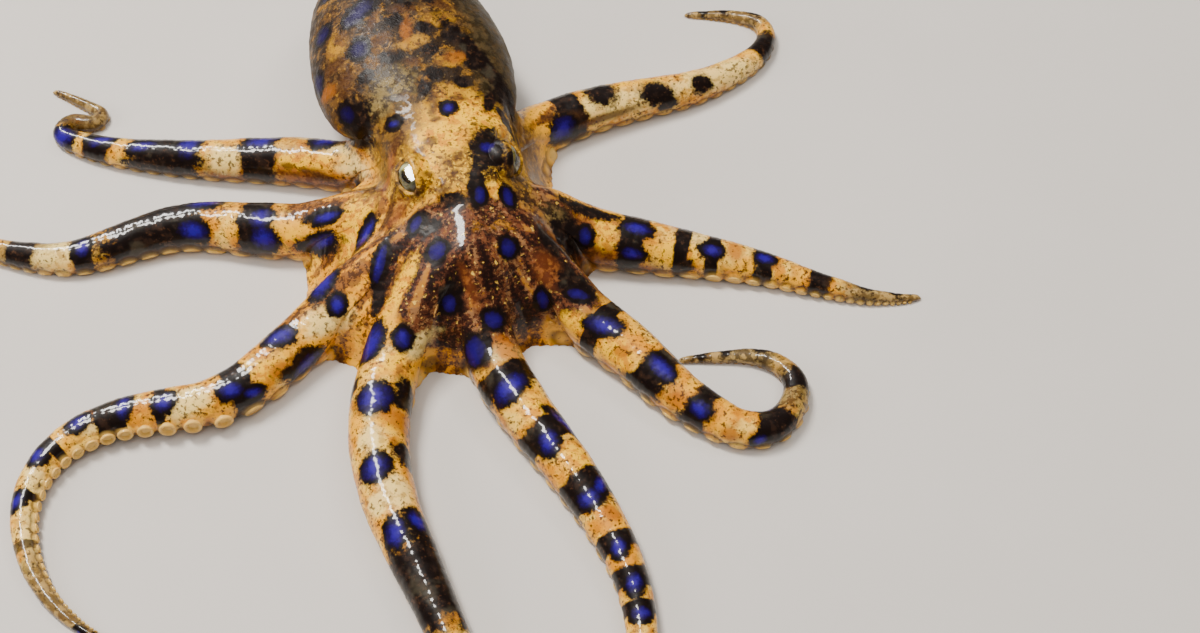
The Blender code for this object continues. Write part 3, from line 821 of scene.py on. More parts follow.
def web_points(here, edge, there):
    """The floor points of a web's edge between two arms, each with its share of the way across."""
    for share in np.linspace(0.0, 1.0, WEB_COLUMNS + 2)[1:-1]:
        curved = here * (1.0 - share) ** 2 + edge * 2.0 * share * (1.0 - share) + there * share ** 2
        if share < 0.5:
            straight = here + (edge - here) * 2.0 * share
        else:
            straight = edge + (there - edge) * (2.0 * share - 1.0)
        yield share, straight + (curved - straight) * WEB_HOLLOW


def crown_ends():
    """Where each curve down the crown ends, its pull there, and how high it is held before it."""
    names = list(ARMS)
    aheads = [direction(arm["heading"]) for arm in ARMS.values()]
    sections = [arm_ring(*arm["start"], arm["heading"], 0.5 * arm["width"], ARM_SIDES)
                for arm in ARMS.values()]
    side_rise = ARM_ROOT_RISE + ARM_SIDE_RISE
    ends = []
    for k, name in enumerate(names):
        after = (k + 1) % len(names)
        ridge = sections[k][:, 2].max()
        for point in sections[k]:
            ends.append((point, -aheads[k] * ARM_ROOT_REACH,
                         ARM_ROOT_RISE + ARM_SIDE_RISE * (1.0 - point[2] / ridge)))
        edge = np.array((*ARMS[name]["web_edge"], 0.0))
        inward = -unit(edge) * WEB_REACH
        for share, point in web_points(sections[k][-1], edge, sections[after][0]):
            near_web = 1.0 - abs(2.0 * share - 1.0)
            arm_pull = -(aheads[k] * (1.0 - share) + aheads[after] * share) * ARM_ROOT_REACH
            pull = arm_pull * (1.0 - near_web) + inward * near_web
            ends.append((point, pull, side_rise + (WEB_RISE - side_rise) * near_web))
    return ends


def crown_columns():
    """The curves down the crown, over each arm's root and to the hollow web edge between two arms."""
    ends = crown_ends()
    top = np.array(CROWN_TOP)
    first = math.atan2(ends[0][0][0], -ends[0][0][1])
    share = np.linspace(0.0, 1.0, CROWN_ROWS + 1)[:, None]
    all_parts = ARM_PARTS + WEB_PARTS
    columns = []
    for i, (end, pull, rise) in enumerate(ends):
        k, j = divmod(i, ARM_SIDES + WEB_COLUMNS)
        # Of the parts that the top ring gives each arm, most carry the arm, and the last ones its web.
        if j < ARM_SIDES:
            place = ARM_PARTS * j / (ARM_SIDES - 1)
        else:
            place = ARM_PARTS + WEB_PARTS * (j - ARM_SIDES + 1) / (WEB_COLUMNS + 1)
        turn = first + 2.0 * math.pi * (k * all_parts + place) / (all_parts * len(ARMS))
        outward = direction(math.degrees(turn))
        start = top + outward * CROWN_TOP_RADIUS
        shoulder = start + outward * CROWN_SHOULDER - UP * CROWN_SHOULDER_DROP
        hold = end + pull + UP * rise
        columns.append(bezier((start, shoulder, hold, end), share))
    return columns


def crown_body():
    """The crown: a top, its sides, and a flat underside."""
    columns = crown_columns()
    count = len(columns)
    rows = len(columns[0])
    points = np.concatenate(columns)
    faces = []
    for i in range(count):
        a, b = i * rows, (i + 1) % count * rows
        for k in range(rows - 1):
            faces.append((a + k, a + k + 1, b + k + 1, b + k))
    faces.append(tuple(i * rows for i in range(count)))
    per_arm = ARM_SIDES + WEB_COLUMNS
    foot = []
    for first in range(0, count, per_arm):
        faces.append(tuple((first + i) * rows + rows - 1 for i in range(ARM_SIDES)))
        foot += [first * rows + rows - 1, (first + ARM_SIDES - 1) * rows + rows - 1]
        foot += [(first + ARM_SIDES + i) * rows + rows - 1 for i in range(WEB_COLUMNS)]
    faces.append(tuple(foot))
    return points, faces


# Meshes and their vertices.


def placed(name, data):
    """A new object in the scene."""
    piece = bpy.data.objects.new(name, data)
    bpy.context.scene.collection.objects.link(piece)
    return piece


def joined(bodies, name):
    """One object out of several bodies, in millimetres."""
    points, faces = [], []
    for body_points, body_faces in bodies:
        base = sum(len(p) for p in points)
        points.append(body_points)
        faces += [tuple(base + i for i in face) for face in body_faces]
    mesh = bpy.data.meshes.new(name)
    mesh.from_pydata(np.concatenate(points).tolist(), [], faces)
    shell = bmesh.new()
    shell.from_mesh(mesh)
    bmesh.ops.recalc_face_normals(shell, faces=shell.faces)
    bmesh.ops.triangulate(shell, faces=[f for f in shell.faces if len(f.verts) > 4])
    shell.to_mesh(mesh)
    shell.free()
    return placed(name, mesh)


def remeshed(piece, cell):
    """The outside of everything in the piece as one mesh of small even faces."""
    modifier = piece.modifiers.new("one_skin", "REMESH")
    modifier.mode = "VOXEL"
    modifier.voxel_size = cell
    modifier.use_smooth_shade = True
    view = bpy.context.evaluated_depsgraph_get()
    mesh = bpy.data.meshes.new_from_object(piece.evaluated_get(view))
    bpy.data.objects.remove(piece, do_unlink=True)
    return mesh


def read_rows(items, key, width=3, kind=float):
    """A row of numbers for each of a mesh's items."""
    rows = np.empty(len(items) * width, kind)
    items.foreach_get(key, rows)
    return rows.reshape(-1, width)


def read_points(mesh):
    """The mesh's vertices as rows."""
    return read_rows(mesh.vertices, "co")


def read_normals(mesh):
    """The vertices' normals as rows."""
    return read_rows(mesh.vertex_normals, "vector")


def write_points(mesh, points):
    """Puts the vertices back."""
    mesh.vertices.foreach_set("co", np.ascontiguousarray(points, np.float32).ravel())
    mesh.update()


def surface_tree(points, mesh):
    """The mesh's faces, with their corners at the given points, ready to be met by rays."""
    return bvhtree.BVHTree.FromPolygons(points.tolist(), [tuple(p.vertices) for p in mesh.polygons])


def neighbour_means(points, edges):
    """The mean of each vertex's neighbours."""
    count = len(points)
    a, b = edges[:, 0], edges[:, 1]
    degree = np.maximum(np.bincount(a, minlength=count) + np.bincount(b, minlength=count), 1)
    mean = np.empty_like(points)
    for axis in range(3):
        value = points[:, axis]
        mean[:, axis] = np.bincount(a, value[b], count) + np.bincount(b, value[a], count)
    return mean / degree[:, None]


def relax(points, edges):
    """Draws each vertex to its neighbours' mean, in turn with a step back that keeps the volume."""
    for step in RELAX_STEPS * RELAX_ROUNDS:
        points = points + step * (neighbour_means(points, edges) - points)
    return points


def settle(points, edges, weight):
    """Fills the hollows between forms, where weight says, by drawing each vertex to its neighbours' mean."""
    pull = (JOIN_PULL * weight)[:, None]
    for _ in range(JOIN_ROUNDS):
        points = points + pull * (neighbour_means(points, edges) - points)
    return points


# The skin's own ground: where each point of it lies on the body.


def route_samples():
    """Points along every arm's middle line, with the arm's number, the distance and the heading there."""
    rows = []
    for number, arm in enumerate(ARMS.values()):
        ahead = direction(arm["heading"])
        for run in np.arange(-ROOT_RUN, 0.0, 0.5):
            rows.append((number, run, arm["start"][0] + ahead[0] * run, arm["start"][1] + ahead[1] * run,
                         arm["heading"]))
        rows += [(number, *row) for row in walk(arm)[::2]]
    return np.array(rows)


def arm_places(points):
    """For each point: the nearest arm's number, the run along it, its radius there and the distance aside."""
    samples = route_samples()
    tree = tree_of([(x, y, 0.0) for x, y in samples[:, 2:4]])
    nearest = np.fromiter((tree.find((x, y, 0.0))[1] for x, y, _ in points.tolist()), np.int64, len(points))
    rows = samples[nearest]
    number, run = rows[:, 0].astype(int), rows[:, 1]
    radius = np.zeros(len(points))
    for k, arm in enumerate(ARMS.values()):
        mine = number == k
        radius[mine] = arm_radius(arm, run[mine], walk(arm)[-1, 0])
    heading = np.radians(rows[:, 4])
    away = points[:, :2] - rows[:, 2:4]
    run = run + away[:, 0] * np.sin(heading) - away[:, 1] * np.cos(heading)
    aside = np.abs(away[:, 0] * np.cos(heading) + away[:, 1] * np.sin(heading))
    return number, run, radius, aside


def trunk_depth(points):
    """How far out each point is from the trunk's middle line, 1 on its surface."""
    shift, half_width, top, bottom = trunk_at(points[:, 1])
    across = np.abs(points[:, 0] - shift) / half_width
    up = np.abs(points[:, 2] - 0.5 * (top + bottom)) / (0.5 * (top - bottom))
    ahead = np.maximum(HEAD_FRONT + 0.5 * HEAD_ROUNDING - points[:, 1], 0.0) / HEAD_ROUNDING
    return (across ** TRUNK_FULLNESS + up ** TRUNK_FULLNESS) ** (1.0 / TRUNK_FULLNESS) + ahead


def trunk_share(points):
    """1 on the head and the mantle, 0 on the arms and the crown."""
    depth = trunk_depth(points)
    share = smoothstep(1.16, 1.03, depth) * (points[:, 1] > HEAD_FRONT - 2.0)
    return np.where(points[:, 1] > MANTLE_EDGE + 8.0, smoothstep(1.3, 1.1, depth), share)


def crown_edge(angle):
    """How far the crown's foot reaches from the mouth in each direction."""
    spots = []
    for arm in ARMS.values():
        spots += [arm["start"], arm["web_edge"]]
    spots = np.array(spots)
    turns = np.arctan2(spots[:, 1], spots[:, 0])
    order = np.argsort(turns)
    reach = np.hypot(spots[:, 0], spots[:, 1])
    return np.interp(angle, turns[order], reach[order], period=2.0 * math.pi)


def crown_share(points):
    """How far out each point is on the crown: 0 over the mouth and 1 at the crown's edge."""
    return np.hypot(points[:, 0], points[:, 1]) / crown_edge(np.arctan2(points[:, 1], points[:, 0]))


# Lids, wrinkles and the underside.


def eye_frame(name):
    """The eye's centre, the way it looks, up its face, and forward along it."""
    centre, look = np.array(EYE_CENTRES[name]), unit(EYE_GAZES[name])
    up = unit(UP - look * look[2])
    fore = np.cross(up, look)
    if fore[1] > 0.0:
        fore = -fore
    return centre, look, up, fore


def finer_at_eyes(mesh):
    """Divides the skin's faces near the eyes, for the lids."""
    shell = bmesh.new()
    shell.from_mesh(mesh)
    for _ in range(LID_CUTS):
        near = {edge for centre in EYE_CENTRES.values() for vert in shell.verts
                if (vert.co - Vector(centre)).length < LID_REACH - 1.0 for edge in vert.link_edges}
        near = sorted(near, key=lambda edge: edge.index)
        bmesh.ops.subdivide_edges(shell, edges=near, cuts=1, use_grid_fill=True)
        shell.edges.index_update()
    bmesh.ops.triangulate(shell, faces=[face for face in shell.faces if len(face.verts) > 4])
    shell.to_mesh(mesh)
    shell.free()


def shape_lids(points):
    """Opens the skin over each eyeball and raises the lids round it."""
    points = points.copy()
    turn = math.radians(EYE_TURN)
    (inner, inner_width), (outer, outer_width) = LID_CREASES
    for name in EYE_CENTRES:
        centre, look, up, fore = eye_frame(name)
        up, fore = up * math.cos(turn) + fore * math.sin(turn), fore * math.cos(turn) - up * math.sin(turn)
        local = points - centre
        away = np.linalg.norm(local, axis=1)
        near = np.nonzero(away < LID_REACH)[0]
        r, way = away[near], unit(local[near])
        half_up = np.where(way @ up > 0.0, EYE_OPENING[1], EYE_OPENING[2])
        edge = EYE_RADIUS * np.hypot(way @ fore / EYE_OPENING[0], way @ up / half_up)
        edge = np.where(way @ look > 0.0, edge, FAR)
        lid = EYE_RADIUS + LID_GAP + LID_THICKNESS * bell(edge, *LID_RIDGE)
        hold = smoothstep(*LID_HOLD, edge)
        raised = np.maximum(r * (1.0 - hold) + lid * hold, EYE_RADIUS + LID_CLEARANCE)
        raised -= LID_CREASE * bell(edge, inner, inner_width) * (raised > EYE_RADIUS + 0.5)
        raised += 0.5 * LID_CREASE * bell(edge, outer, outer_width)
        inside = smoothstep(*LID_EDGE, edge)
        target = raised * (1.0 - inside) + (EYE_RADIUS - LID_SUNK) * inside
        points[near] = centre + way * target[:, None]
    return points


def hollow_underside(points, normals):
    """Lifts the crown's underside off the floor, rising towards the mouth."""
    points = points.copy()
    share = crown_share(points)
    under = (points[:, 2] < 1.2) & (normals[:, 2] < -0.5) & (share < 1.0)
    points[under, 2] += UNDERSIDE_RISE * smoothstep(1.0, 0.7, share[under])
    return points


def shape_ridge(points, normals):
    """Rounds the middle of the brow into a narrow ridge that runs down to the crown."""
    points = points.copy()
    ahead = points[:, 1] - RIDGE_PLACE[1]
    across = points[:, 0] - RIDGE_PLACE[0] - RIDGE_LEAN * ahead
    near = (points[:, 2] > RIDGE_LOWEST) & (normals[:, 2] > 0.3)
    near &= (np.abs(across) < 2.0 * RIDGE_REACH[0]) & (np.abs(ahead) < 1.6 * RIDGE_REACH[1])
    middle = near & (np.abs(across) < RIDGE_MIDDLE[0]) & (np.abs(ahead) < RIDGE_MIDDLE[1])
    plane = RIDGE_SLOPES[0] * across + RIDGE_SLOPES[1] * ahead - RIDGE_ROUNDING * across ** 2
    level = np.mean(points[middle, 2] - plane[middle]) + RIDGE_RISE
    weight = np.exp(-(np.abs(across) / RIDGE_REACH[0]) ** 3 - (np.abs(ahead) / RIDGE_REACH[1]) ** 4) * near
    points[:, 2] += weight * (level + plane - points[:, 2])
    return points


def knobs(points, seats):
    """How far each low point is from the nearest sucker's seat, in the sucker's radii."""
    tree = tree_of([place for place, _, _ in seats])
    sizes = np.array([size for _, _, size in seats])
    low = points[:, 2] < KNOB_HEIGHT
    found = [tree.find(p)[1:] for p in points[low].tolist()]
    away = np.full(len(points), FAR)
    away[low] = np.array([far for _, far in found]) / sizes[[i for i, _ in found]]
    return away


def relief(points, normals, trunk, run, cup_distance):
    """Small lumps, papillae and creases, and the mantle's edge, as a height over the skin."""
    soft = sum(height * noise(points, size, seed) for height, size, seed in LUMPS)
    soft = soft * (ARM_LUMPS + (1.0 - ARM_LUMPS) * trunk)
    papillae = smoothstep(0.42, 0.08, cells(points, PAPILLA_SIZE, 3))
    grains = smoothstep(0.5, 0.1, cells(points, GRAIN_SIZE, 4))
    along = np.sin(2.0 * math.pi * (run / CREASE_PITCH + 0.35 * noise(points, 2.2, 5)))
    creases = -CREASE_DEPTH * smoothstep(0.5, 1.0, along)
    swelling = SWELLING_HEIGHT * np.exp(-(cup_distance / SWELLING_REACH) ** 4)
    swelling -= MOAT_DEPTH * np.exp(-((cup_distance - MOAT_REACH) / MOAT_WIDTH) ** 2)
    on_trunk = PAPILLA_HEIGHT * papillae + GRAIN_HEIGHT * grains
    on_arm = creases + ARM_GRAIN_HEIGHT * grains + swelling
    height = soft + on_trunk * trunk + on_arm * (1.0 - trunk)
    back = points[:, 1] - MANTLE_EDGE - 0.25 * noise(points, 5.0, 6)
    sides = trunk * smoothstep(0.62, 0.1, normals[:, 2]) * (points[:, 1] > 8.0)
    fold = MANTLE_EDGE_RISE * smoothstep(-0.35, 0.25, back) * smoothstep(9.0, 1.0, back)
    groove = -0.7 * MANTLE_EDGE_RISE * bell(back, -0.8, 0.5)
    away = (points[:, :2] - RIDGE_PLACE) / RIDGE_REACH
    calm = 1.0 - RIDGE_CALM * np.exp(-(away ** 2).sum(axis=1)) * (points[:, 2] > RIDGE_LOWEST)
    return height * calm + sides * (fold + groove)


# Suckers and mouth.


def lathe(profile, centre, axis, sides):
    """The rings of a round body turned about an axis, from (radius, height) pairs."""
    axis = unit(axis)
    side = unit(np.cross(axis, (0.31, 0.92, 0.23)))
    other = np.cross(axis, side)
    angle = np.linspace(0.0, 2.0 * math.pi, sides, endpoint=False)[:, None]
    return [centre + axis * height + (side * np.cos(angle) + other * np.sin(angle)) * max(radius, 0.004)
            for radius, height in profile]


def sucker_seats():
    """Every sucker's place, axis and radius: two staggered rows under each arm that run in to the mouth."""
    seats = []
    for name, arm in ARMS.items():
        line = walk(arm)
        length = line[-1, 0]
        ahead = direction(arm["heading"])
        start = np.array((*arm["start"], 0.0))
        reach = np.linalg.norm(start) - MOUTH_REACH
        inward = -unit(start)
        roll = math.copysign(math.radians(ARM_ROLL[name]), ahead[0])
        run, row = -reach, 0
        while run < length - BARE_TIP:
            radius = float(arm_radius(arm, max(run, 0.0), length))
            inner = float(smoothstep(-reach, -0.3 * reach, run))
            size = SUCKER_SHARE * radius * (INNER_SUCKER + (1.0 - INNER_SUCKER) * inner)
            if run < 0.0:
                share = float(smoothstep(0.0, -ROOT_BEND, run))
                middle = start + inward * -run
                onward = unit(ahead * (1.0 - share) - inward * share)
            else:
                x, y, heading = on_line(line, run)
                middle, onward = np.array((x, y, 0.0)), direction(heading)
            hand = 1.0 if row % 2 else -1.0
            side = np.array((-onward[1], onward[0], 0.0)) * hand
            spread = SUCKER_ANGLE - roll * float(smoothstep(*ROLL_RUN, run)) * hand
            axis = side * math.sin(spread) - UP * math.cos(spread)
            place = middle + UP * ARM_CENTRE_HEIGHT * radius + axis * radius * SUCKER_SEAT
            if run < 0.0:
                flat = middle + side * 0.95 * size + UP * UNDERSIDE_RISE * 0.6
                share = float(smoothstep(0.0, -ROOT_FLATTENING, run))
                place = place * (1.0 - share) + flat * share
                axis = unit(axis * (1.0 - share) - UP * share)
            stand = SUCKER_STAND * size * max(float(axis[2]) + 0.30, 0.0)
            place = place + axis * min(stand, STALK * size)
            place[2] = max(place[2], LOWEST_SUCKER * size)
            seats.append((place, axis, size))
            run += SUCKER_PITCH * size
            row += 1
    return seats


def cup_body(place, axis, size):
    """One sucker: a rim, an inner face and a deep middle, on a short stalk in the flesh."""
    profile = [(radius * size, height * size) for radius, height in SUCKER_PROFILE]
    points, faces = lofted(lathe(profile, place, axis, SUCKER_SIDES))
    points[:, 2] = np.maximum(points[:, 2], 0.0)
    return points, faces


def mouth_bodies():
    """The round lip, and the two tips of the beak in it."""
    lip = lofted(lathe(LIP_PROFILE, UP * (UNDERSIDE_RISE - LIP_DROP), -UP, LIP_SIDES))
    beak = []
    for lean in BEAK_LEANS:
        seat = np.array((0.0, math.copysign(BEAK_GAP, lean), UNDERSIDE_RISE - BEAK_DROP))
        beak.append(lofted(lathe(BEAK_PROFILE, seat, (0.0, -lean, -1.0), BEAK_SIDES)))
    return [lip], beak


# Markings.


def picture_blots(tree, rows):
    """Ovals on the skin from (x, y, half length, half width, tilt) in the photograph's pixels."""
    blots = []
    _, right, up, _ = camera_axes()
    for x, y, half_long, half_wide, tilt in rows:
        place, ray = pixel_ray(x, y)
        hit, normal, _, far = tree.ray_cast(Vector(place), Vector(ray))
        if hit is None:
            continue
        hit, normal = np.array(hit), np.array(normal)
        turn = math.radians(tilt)
        slants = (right * math.cos(turn) + up * math.sin(turn), up * math.cos(turn) - right * math.sin(turn))
        axes = []
        for way, half in zip(slants, (half_long, half_wide)):
            # Laid on the skin, an axis grows longer where the skin slopes away along it.
            flat = way - ray * (way @ normal) / (ray @ normal)
            axes.append(unit(flat) * min(np.linalg.norm(flat), LONGEST_SLANT) * half * far / FOCAL)
        blots.append((hit, normal, *axes))
    return blots


def arm_blot(name, run, degrees, half_long, half_wide):
    """An oval on an arm at a distance along it and an angle round it from its top, in millimetres."""
    line = walk(ARMS[name])
    x, y, heading = on_line(line, run)
    radius = float(arm_radius(ARMS[name], run, line[-1, 0]))
    ahead = direction(heading)
    turn = math.radians(degrees)
    normal = direction(heading + 90.0) * math.sin(turn) + UP * math.cos(turn)
    centre = np.array((x, y, ARM_CENTRE_HEIGHT * radius)) + normal * radius
    return centre, normal, ahead * half_long, np.cross(normal, ahead) * half_wide


def blot_field(points, blots):
    """For each point, how far out it is in the nearest oval: 0 in its middle and 1 at its edge."""
    field = np.full(len(points), FAR)
    for centre, normal, long, wide in blots:
        a, b = np.linalg.norm(long), np.linalg.norm(wide)
        reach = FAR * max(a, b)
        near = np.nonzero(np.abs(points - centre).max(axis=1) < reach)[0]
        away = points[near] - centre
        deep = 1.2 * min(max(a, b), 3.0 * min(a, b))
        shares = np.stack((away @ long / a ** 2, away @ wide / b ** 2, away @ normal / deep))
        field[near] = np.minimum(field[near], np.sqrt((shares ** 2).sum(axis=0)))
    return field


def run_at_pixel(name, axis, value):
    """How far along an arm its middle line first crosses a column (axis 0) or a row (axis 1) of pixels."""
    line = walk(ARMS[name])
    heights = ARM_CENTRE_HEIGHT * arm_radius(ARMS[name], line[:, 0], line[-1, 0])
    spots = np.stack((line[:, 1], line[:, 2], heights), axis=1)
    away = in_picture(spots)[axis] + 0.5 * PHOTO[axis] - value
    crossings = np.nonzero(np.sign(away[1:]) != np.sign(away[:-1]))[0]
    return float(line[crossings[0] if len(crossings) else np.argmin(np.abs(away)), 0])


def band_runs():
    """Each arm's dark bands as (start, end) along it: those of the photograph, then more to its tip."""
    runs = {name: [] for name in ARMS}
    for name, axis, pixels in ARM_BANDS:
        runs[name] += [tuple(sorted(run_at_pixel(name, axis, value) for value in pair)) for pair in pixels]
    for name, spans in runs.items():
        length = walk(ARMS[name])[-1, 0]
        at = max(end for _, end in spans)
        while True:
            width = float(arm_radius(ARMS[name], at, length)) * 2.0
            at += BAND_GAP * width
            if at + 0.6 * width > length - BARE_END:
                break
            spans.append((at, at + BAND_WIDTH * width))
            at += BAND_WIDTH * width
    return runs


def band_field(number, run, bands):
    """How far each point is from the middle of a dark band across its arm: 1 at the band's edge."""
    field = np.full(len(run), FAR)
    for k, name in enumerate(ARMS):
        mine = number == k
        for start, end in bands[name]:
            share = np.abs(run[mine] - 0.5 * (start + end)) / max(0.5 * (end - start), 0.3)
            field[mine] = np.minimum(field[mine], share)
    return field


def is_shown(spot, normal):
    """True if the photograph shows a spot of the skin, by its frame and the way the skin faces there."""
    across, down = in_picture(spot)
    inside = abs(across) < 0.5 * PHOTO[0] and abs(down) < 0.5 * PHOTO[1]
    return bool(inside and normal @ unit(camera_axes()[0] - spot) > TURNED_AWAY)


def hidden_blue(bands, seen):
    """Blue spots on the arms' bands where the photograph shows none: on their far sides and outer lengths."""
    blots = []
    taken = np.array([blot[0] for blot in seen])
    for name, arm in ARMS.items():
        length = walk(arm)[-1, 0]
        for start, end in bands[name]:
            middle = 0.5 * (start + end)
            radius = float(arm_radius(arm, middle, length))
            for degrees in HIDDEN_TURNS:
                half = max(min(0.42 * (end - start), 0.6 * radius), 0.4)
                blot = arm_blot(name, middle, degrees, half, 0.5 * radius)
                if degrees == 0 and radius > 1.6 or is_shown(blot[0], blot[1]):
                    continue
                if np.linalg.norm(taken - blot[0], axis=1).min() > 1.5 * radius:
                    blots.append(blot)
    return blots


def trunk_blots(tree, seen, spacing, size, seed):
    """Ovals over the trunk's parts that the photograph doesn't show, about spacing apart."""
    blots = []
    taken = [blot[0] for blot in seen]
    eyes = [np.array(centre) for centre in EYE_CENTRES.values()]
    draws = np.random.default_rng(seed)
    for _ in range(FAR_TRIES):
        back = draws.uniform(-4.0, 56.0)
        turn = draws.uniform(-0.35 * math.pi, 1.35 * math.pi)
        shift, _, top, bottom = smooth_station(back)
        inside = Vector((shift, back, 0.5 * (top + bottom)))
        way = Vector((math.cos(turn), 0.0, math.sin(turn)))
        hit, normal, _, _ = tree.ray_cast(inside + way * 40.0, -way)
        if hit is None or hit.z < 1.0:
            continue
        spot, outward = np.array(hit), np.array(normal)
        if is_shown(spot, outward) or min(np.linalg.norm(spot - eye) for eye in eyes) < LID_REACH:
            continue
        if min(np.linalg.norm(spot - other) for other in taken) < spacing:
            continue
        taken.append(spot)
        along = unit(np.array((0.0, 1.0, 0.0)) - outward * outward[1])
        half = size * draws.uniform(0.8, 1.25)
        blots.append((spot, outward, along * half * FAR_LENGTH, np.cross(outward, along) * half))
    return blots


def all_blots(tree, bands):
    """Every kind of marking's ovals: those seen in the photograph, and those where it shows nothing."""
    blots = {name: picture_blots(tree, rows) for name, rows in MARKINGS.items()}
    blue = blots["blue"]
    hidden = hidden_blue(bands, blue)
    far_blue = trunk_blots(tree, blue + hidden, *FAR_BLUE)
    far_gold = trunk_blots(tree, blue + far_blue + blots["gold"], *FAR_GOLD)
    blots["dark"] += trunk_blots(tree, blue + far_blue + far_gold, *FAR_DARK)
    blots["gold"] += far_gold
    blots["blue"] = blue + hidden + far_blue
    blots["halo"] = [(centre, normal, *(half * (1.0 + HALO_WIDTH / np.linalg.norm(half)) for half in halves))
                     for centre, normal, *halves in blots["blue"]]
    return blots


def set_field(mesh, name, values):
    """Stores one number for each vertex."""
    layer = mesh.attributes.new(name, "FLOAT", "POINT")
    layer.data.foreach_set("value", np.ascontiguousarray(values, np.float32))


def crown_streaks(points):
    """Streaks that run out over the crown, -1 to 1, and fade towards its top."""
    turn, reach = np.arctan2(points[:, 1], points[:, 0]), np.hypot(points[:, 0], points[:, 1])
    spread = np.stack((STREAK_TURN * np.cos(turn), STREAK_TURN * np.sin(turn), STREAK_RUN * reach), axis=1)
    streak = noise(spread, 1.0, 8) + 0.5 * noise(spread, 0.5, 9)
    return np.clip(1.6 * streak, -1.0, 1.0) * smoothstep(5.0, 11.0, reach)


def mark_skin(mesh, points, normals, places, trunk, cup_distance):
    """Stores on the skin where each marking and each kind of ground lies."""
    number, run, radius, _ = places
    bands = band_runs()
    for name, ovals in all_blots(surface_tree(points, mesh), bands).items():
        set_field(mesh, name, blot_field(points, ovals))
    x, back, height = points.T
    on_arm = 1.0 - trunk
    outward = smoothstep(-1.5, 1.5, run)
    lengths = np.array([walk(arm)[-1, 0] for arm in ARMS.values()])[number]
    shift, half_width, _, _ = trunk_at(back)
    left_side = (x - shift) / half_width + 0.06 * noise(points, 4.0, 7)
    low_arm = smoothstep(0.6, 0.25, height / np.maximum(radius, 0.3)) * on_arm * outward
    below = low_arm + smoothstep(2.2, 0.6, height) * trunk
    fields = {
        "band": band_field(number, run, bands) + 3.0 * (1.0 - on_arm * outward),
        "root": smoothstep(7.0, -2.0, run) * smoothstep(6.0, 0.0, back * trunk),
        "tip": on_arm * smoothstep(0.62, 0.86, run / lengths),
        "streak": crown_streaks(points),
        "head": trunk * smoothstep(-4.0, 3.0, back) * smoothstep(19.0, 13.0, back),
        "mantle": trunk * smoothstep(13.0, 19.0, back),
        # Painted shade down the mantle's +X side, strongest at its outer edge.
        "shaded_flank": trunk * smoothstep(0.46, 0.70, left_side) * smoothstep(12.0, 18.0, back),
        # Redder and darker on the arms' low sides near the floor, low on the trunk, and on skin that faces
        # down.
        "low_and_under": np.clip(np.maximum(below, smoothstep(-0.3, -0.75, normals[:, 2])), 0.0, 1.0),
        "cup": np.exp(-(cup_distance / 1.05) ** 4),
        # Painted shade: a ring in the moat round each sucker, low on the arms.
        "shade_round_cups": np.exp(-((cup_distance - 1.5) / 0.3) ** 2) * (height < 2.6),
    }
    for name, values in fields.items():
        set_field(mesh, name, values)


# Materials.


class Shader:
    """A node material and short ways to add to it."""

    def __init__(self, name):
        self.material = bpy.data.materials.new(name)
        self.material.use_nodes = True
        self.tree = self.material.node_tree
        self.tree.nodes.clear()
        self.where = self.add("ShaderNodeTexCoord").outputs["Object"]

    def add(self, kind, inputs=(), **settings):
        """A node with its settings and its inputs, each a value or another node's socket."""
        node = self.tree.nodes.new(kind)
        for key, value in settings.items():
            setattr(node, key, value)
        for key, value in dict(inputs).items():
            if isinstance(value, bpy.types.NodeSocket):
                self.tree.links.new(value, node.inputs[key])
            else:
                node.inputs[key].default_value = value
        return node

    def field(self, name):
        """A number stored on the mesh."""
        return self.add("ShaderNodeAttribute", attribute_name=name).outputs["Fac"]

    def lumps(self, scale, detail=2.0, roughness=0.5):
        """A noise from 0 to 1 whose lumps are 1/scale metres across."""
        inputs = {"Vector": self.where, "Scale": scale, "Detail": detail, "Roughness": roughness}
        return self.add("ShaderNodeTexNoise", inputs).outputs["Fac"]

    def math(self, operation, first, second=0.0):
        """One arithmetic step."""
        return self.add("ShaderNodeMath", {0: first, 1: second}, operation=operation).outputs[0]

    def part(self, value, share):
        """A share of a value."""
        return self.math("MULTIPLY", value, share)

    def swing(self, noise_value, share):
        """A share of a noise's swing to both sides of its middle."""
        return self.part(self.math("SUBTRACT", noise_value, 0.5), share)

    def plus(self, first, second, share=1.0):
        """The first value and a share of the second."""
        return self.math("ADD", first, second if share == 1.0 else self.part(second, share))

    def rise(self, value, low, high, top=1.0):
        """0 where value is below low, top where it is above high, with a smooth step between."""
        inputs = {"Value": value, "From Min": low, "From Max": high, "To Max": top}
        if low > high:
            inputs.update({"From Min": high, "From Max": low, "To Min": top, "To Max": 0.0})
        return self.add("ShaderNodeMapRange", inputs, interpolation_type="SMOOTHSTEP").outputs["Result"]

    def mix(self, amount, first, second):
        """One colour passing into another."""
        colours = [(*value, 1.0) if isinstance(value, tuple) else value for value in (first, second)]
        inputs = {0: amount, 6: colours[0], 7: colours[1]}
        return self.add("ShaderNodeMix", inputs, data_type="RGBA").outputs[2]

    def finish(self, shader):
        """Ends the material with a shader."""
        output = self.add("ShaderNodeOutputMaterial")
        self.tree.links.new(shader.outputs[0], output.inputs["Surface"])
        return self.material


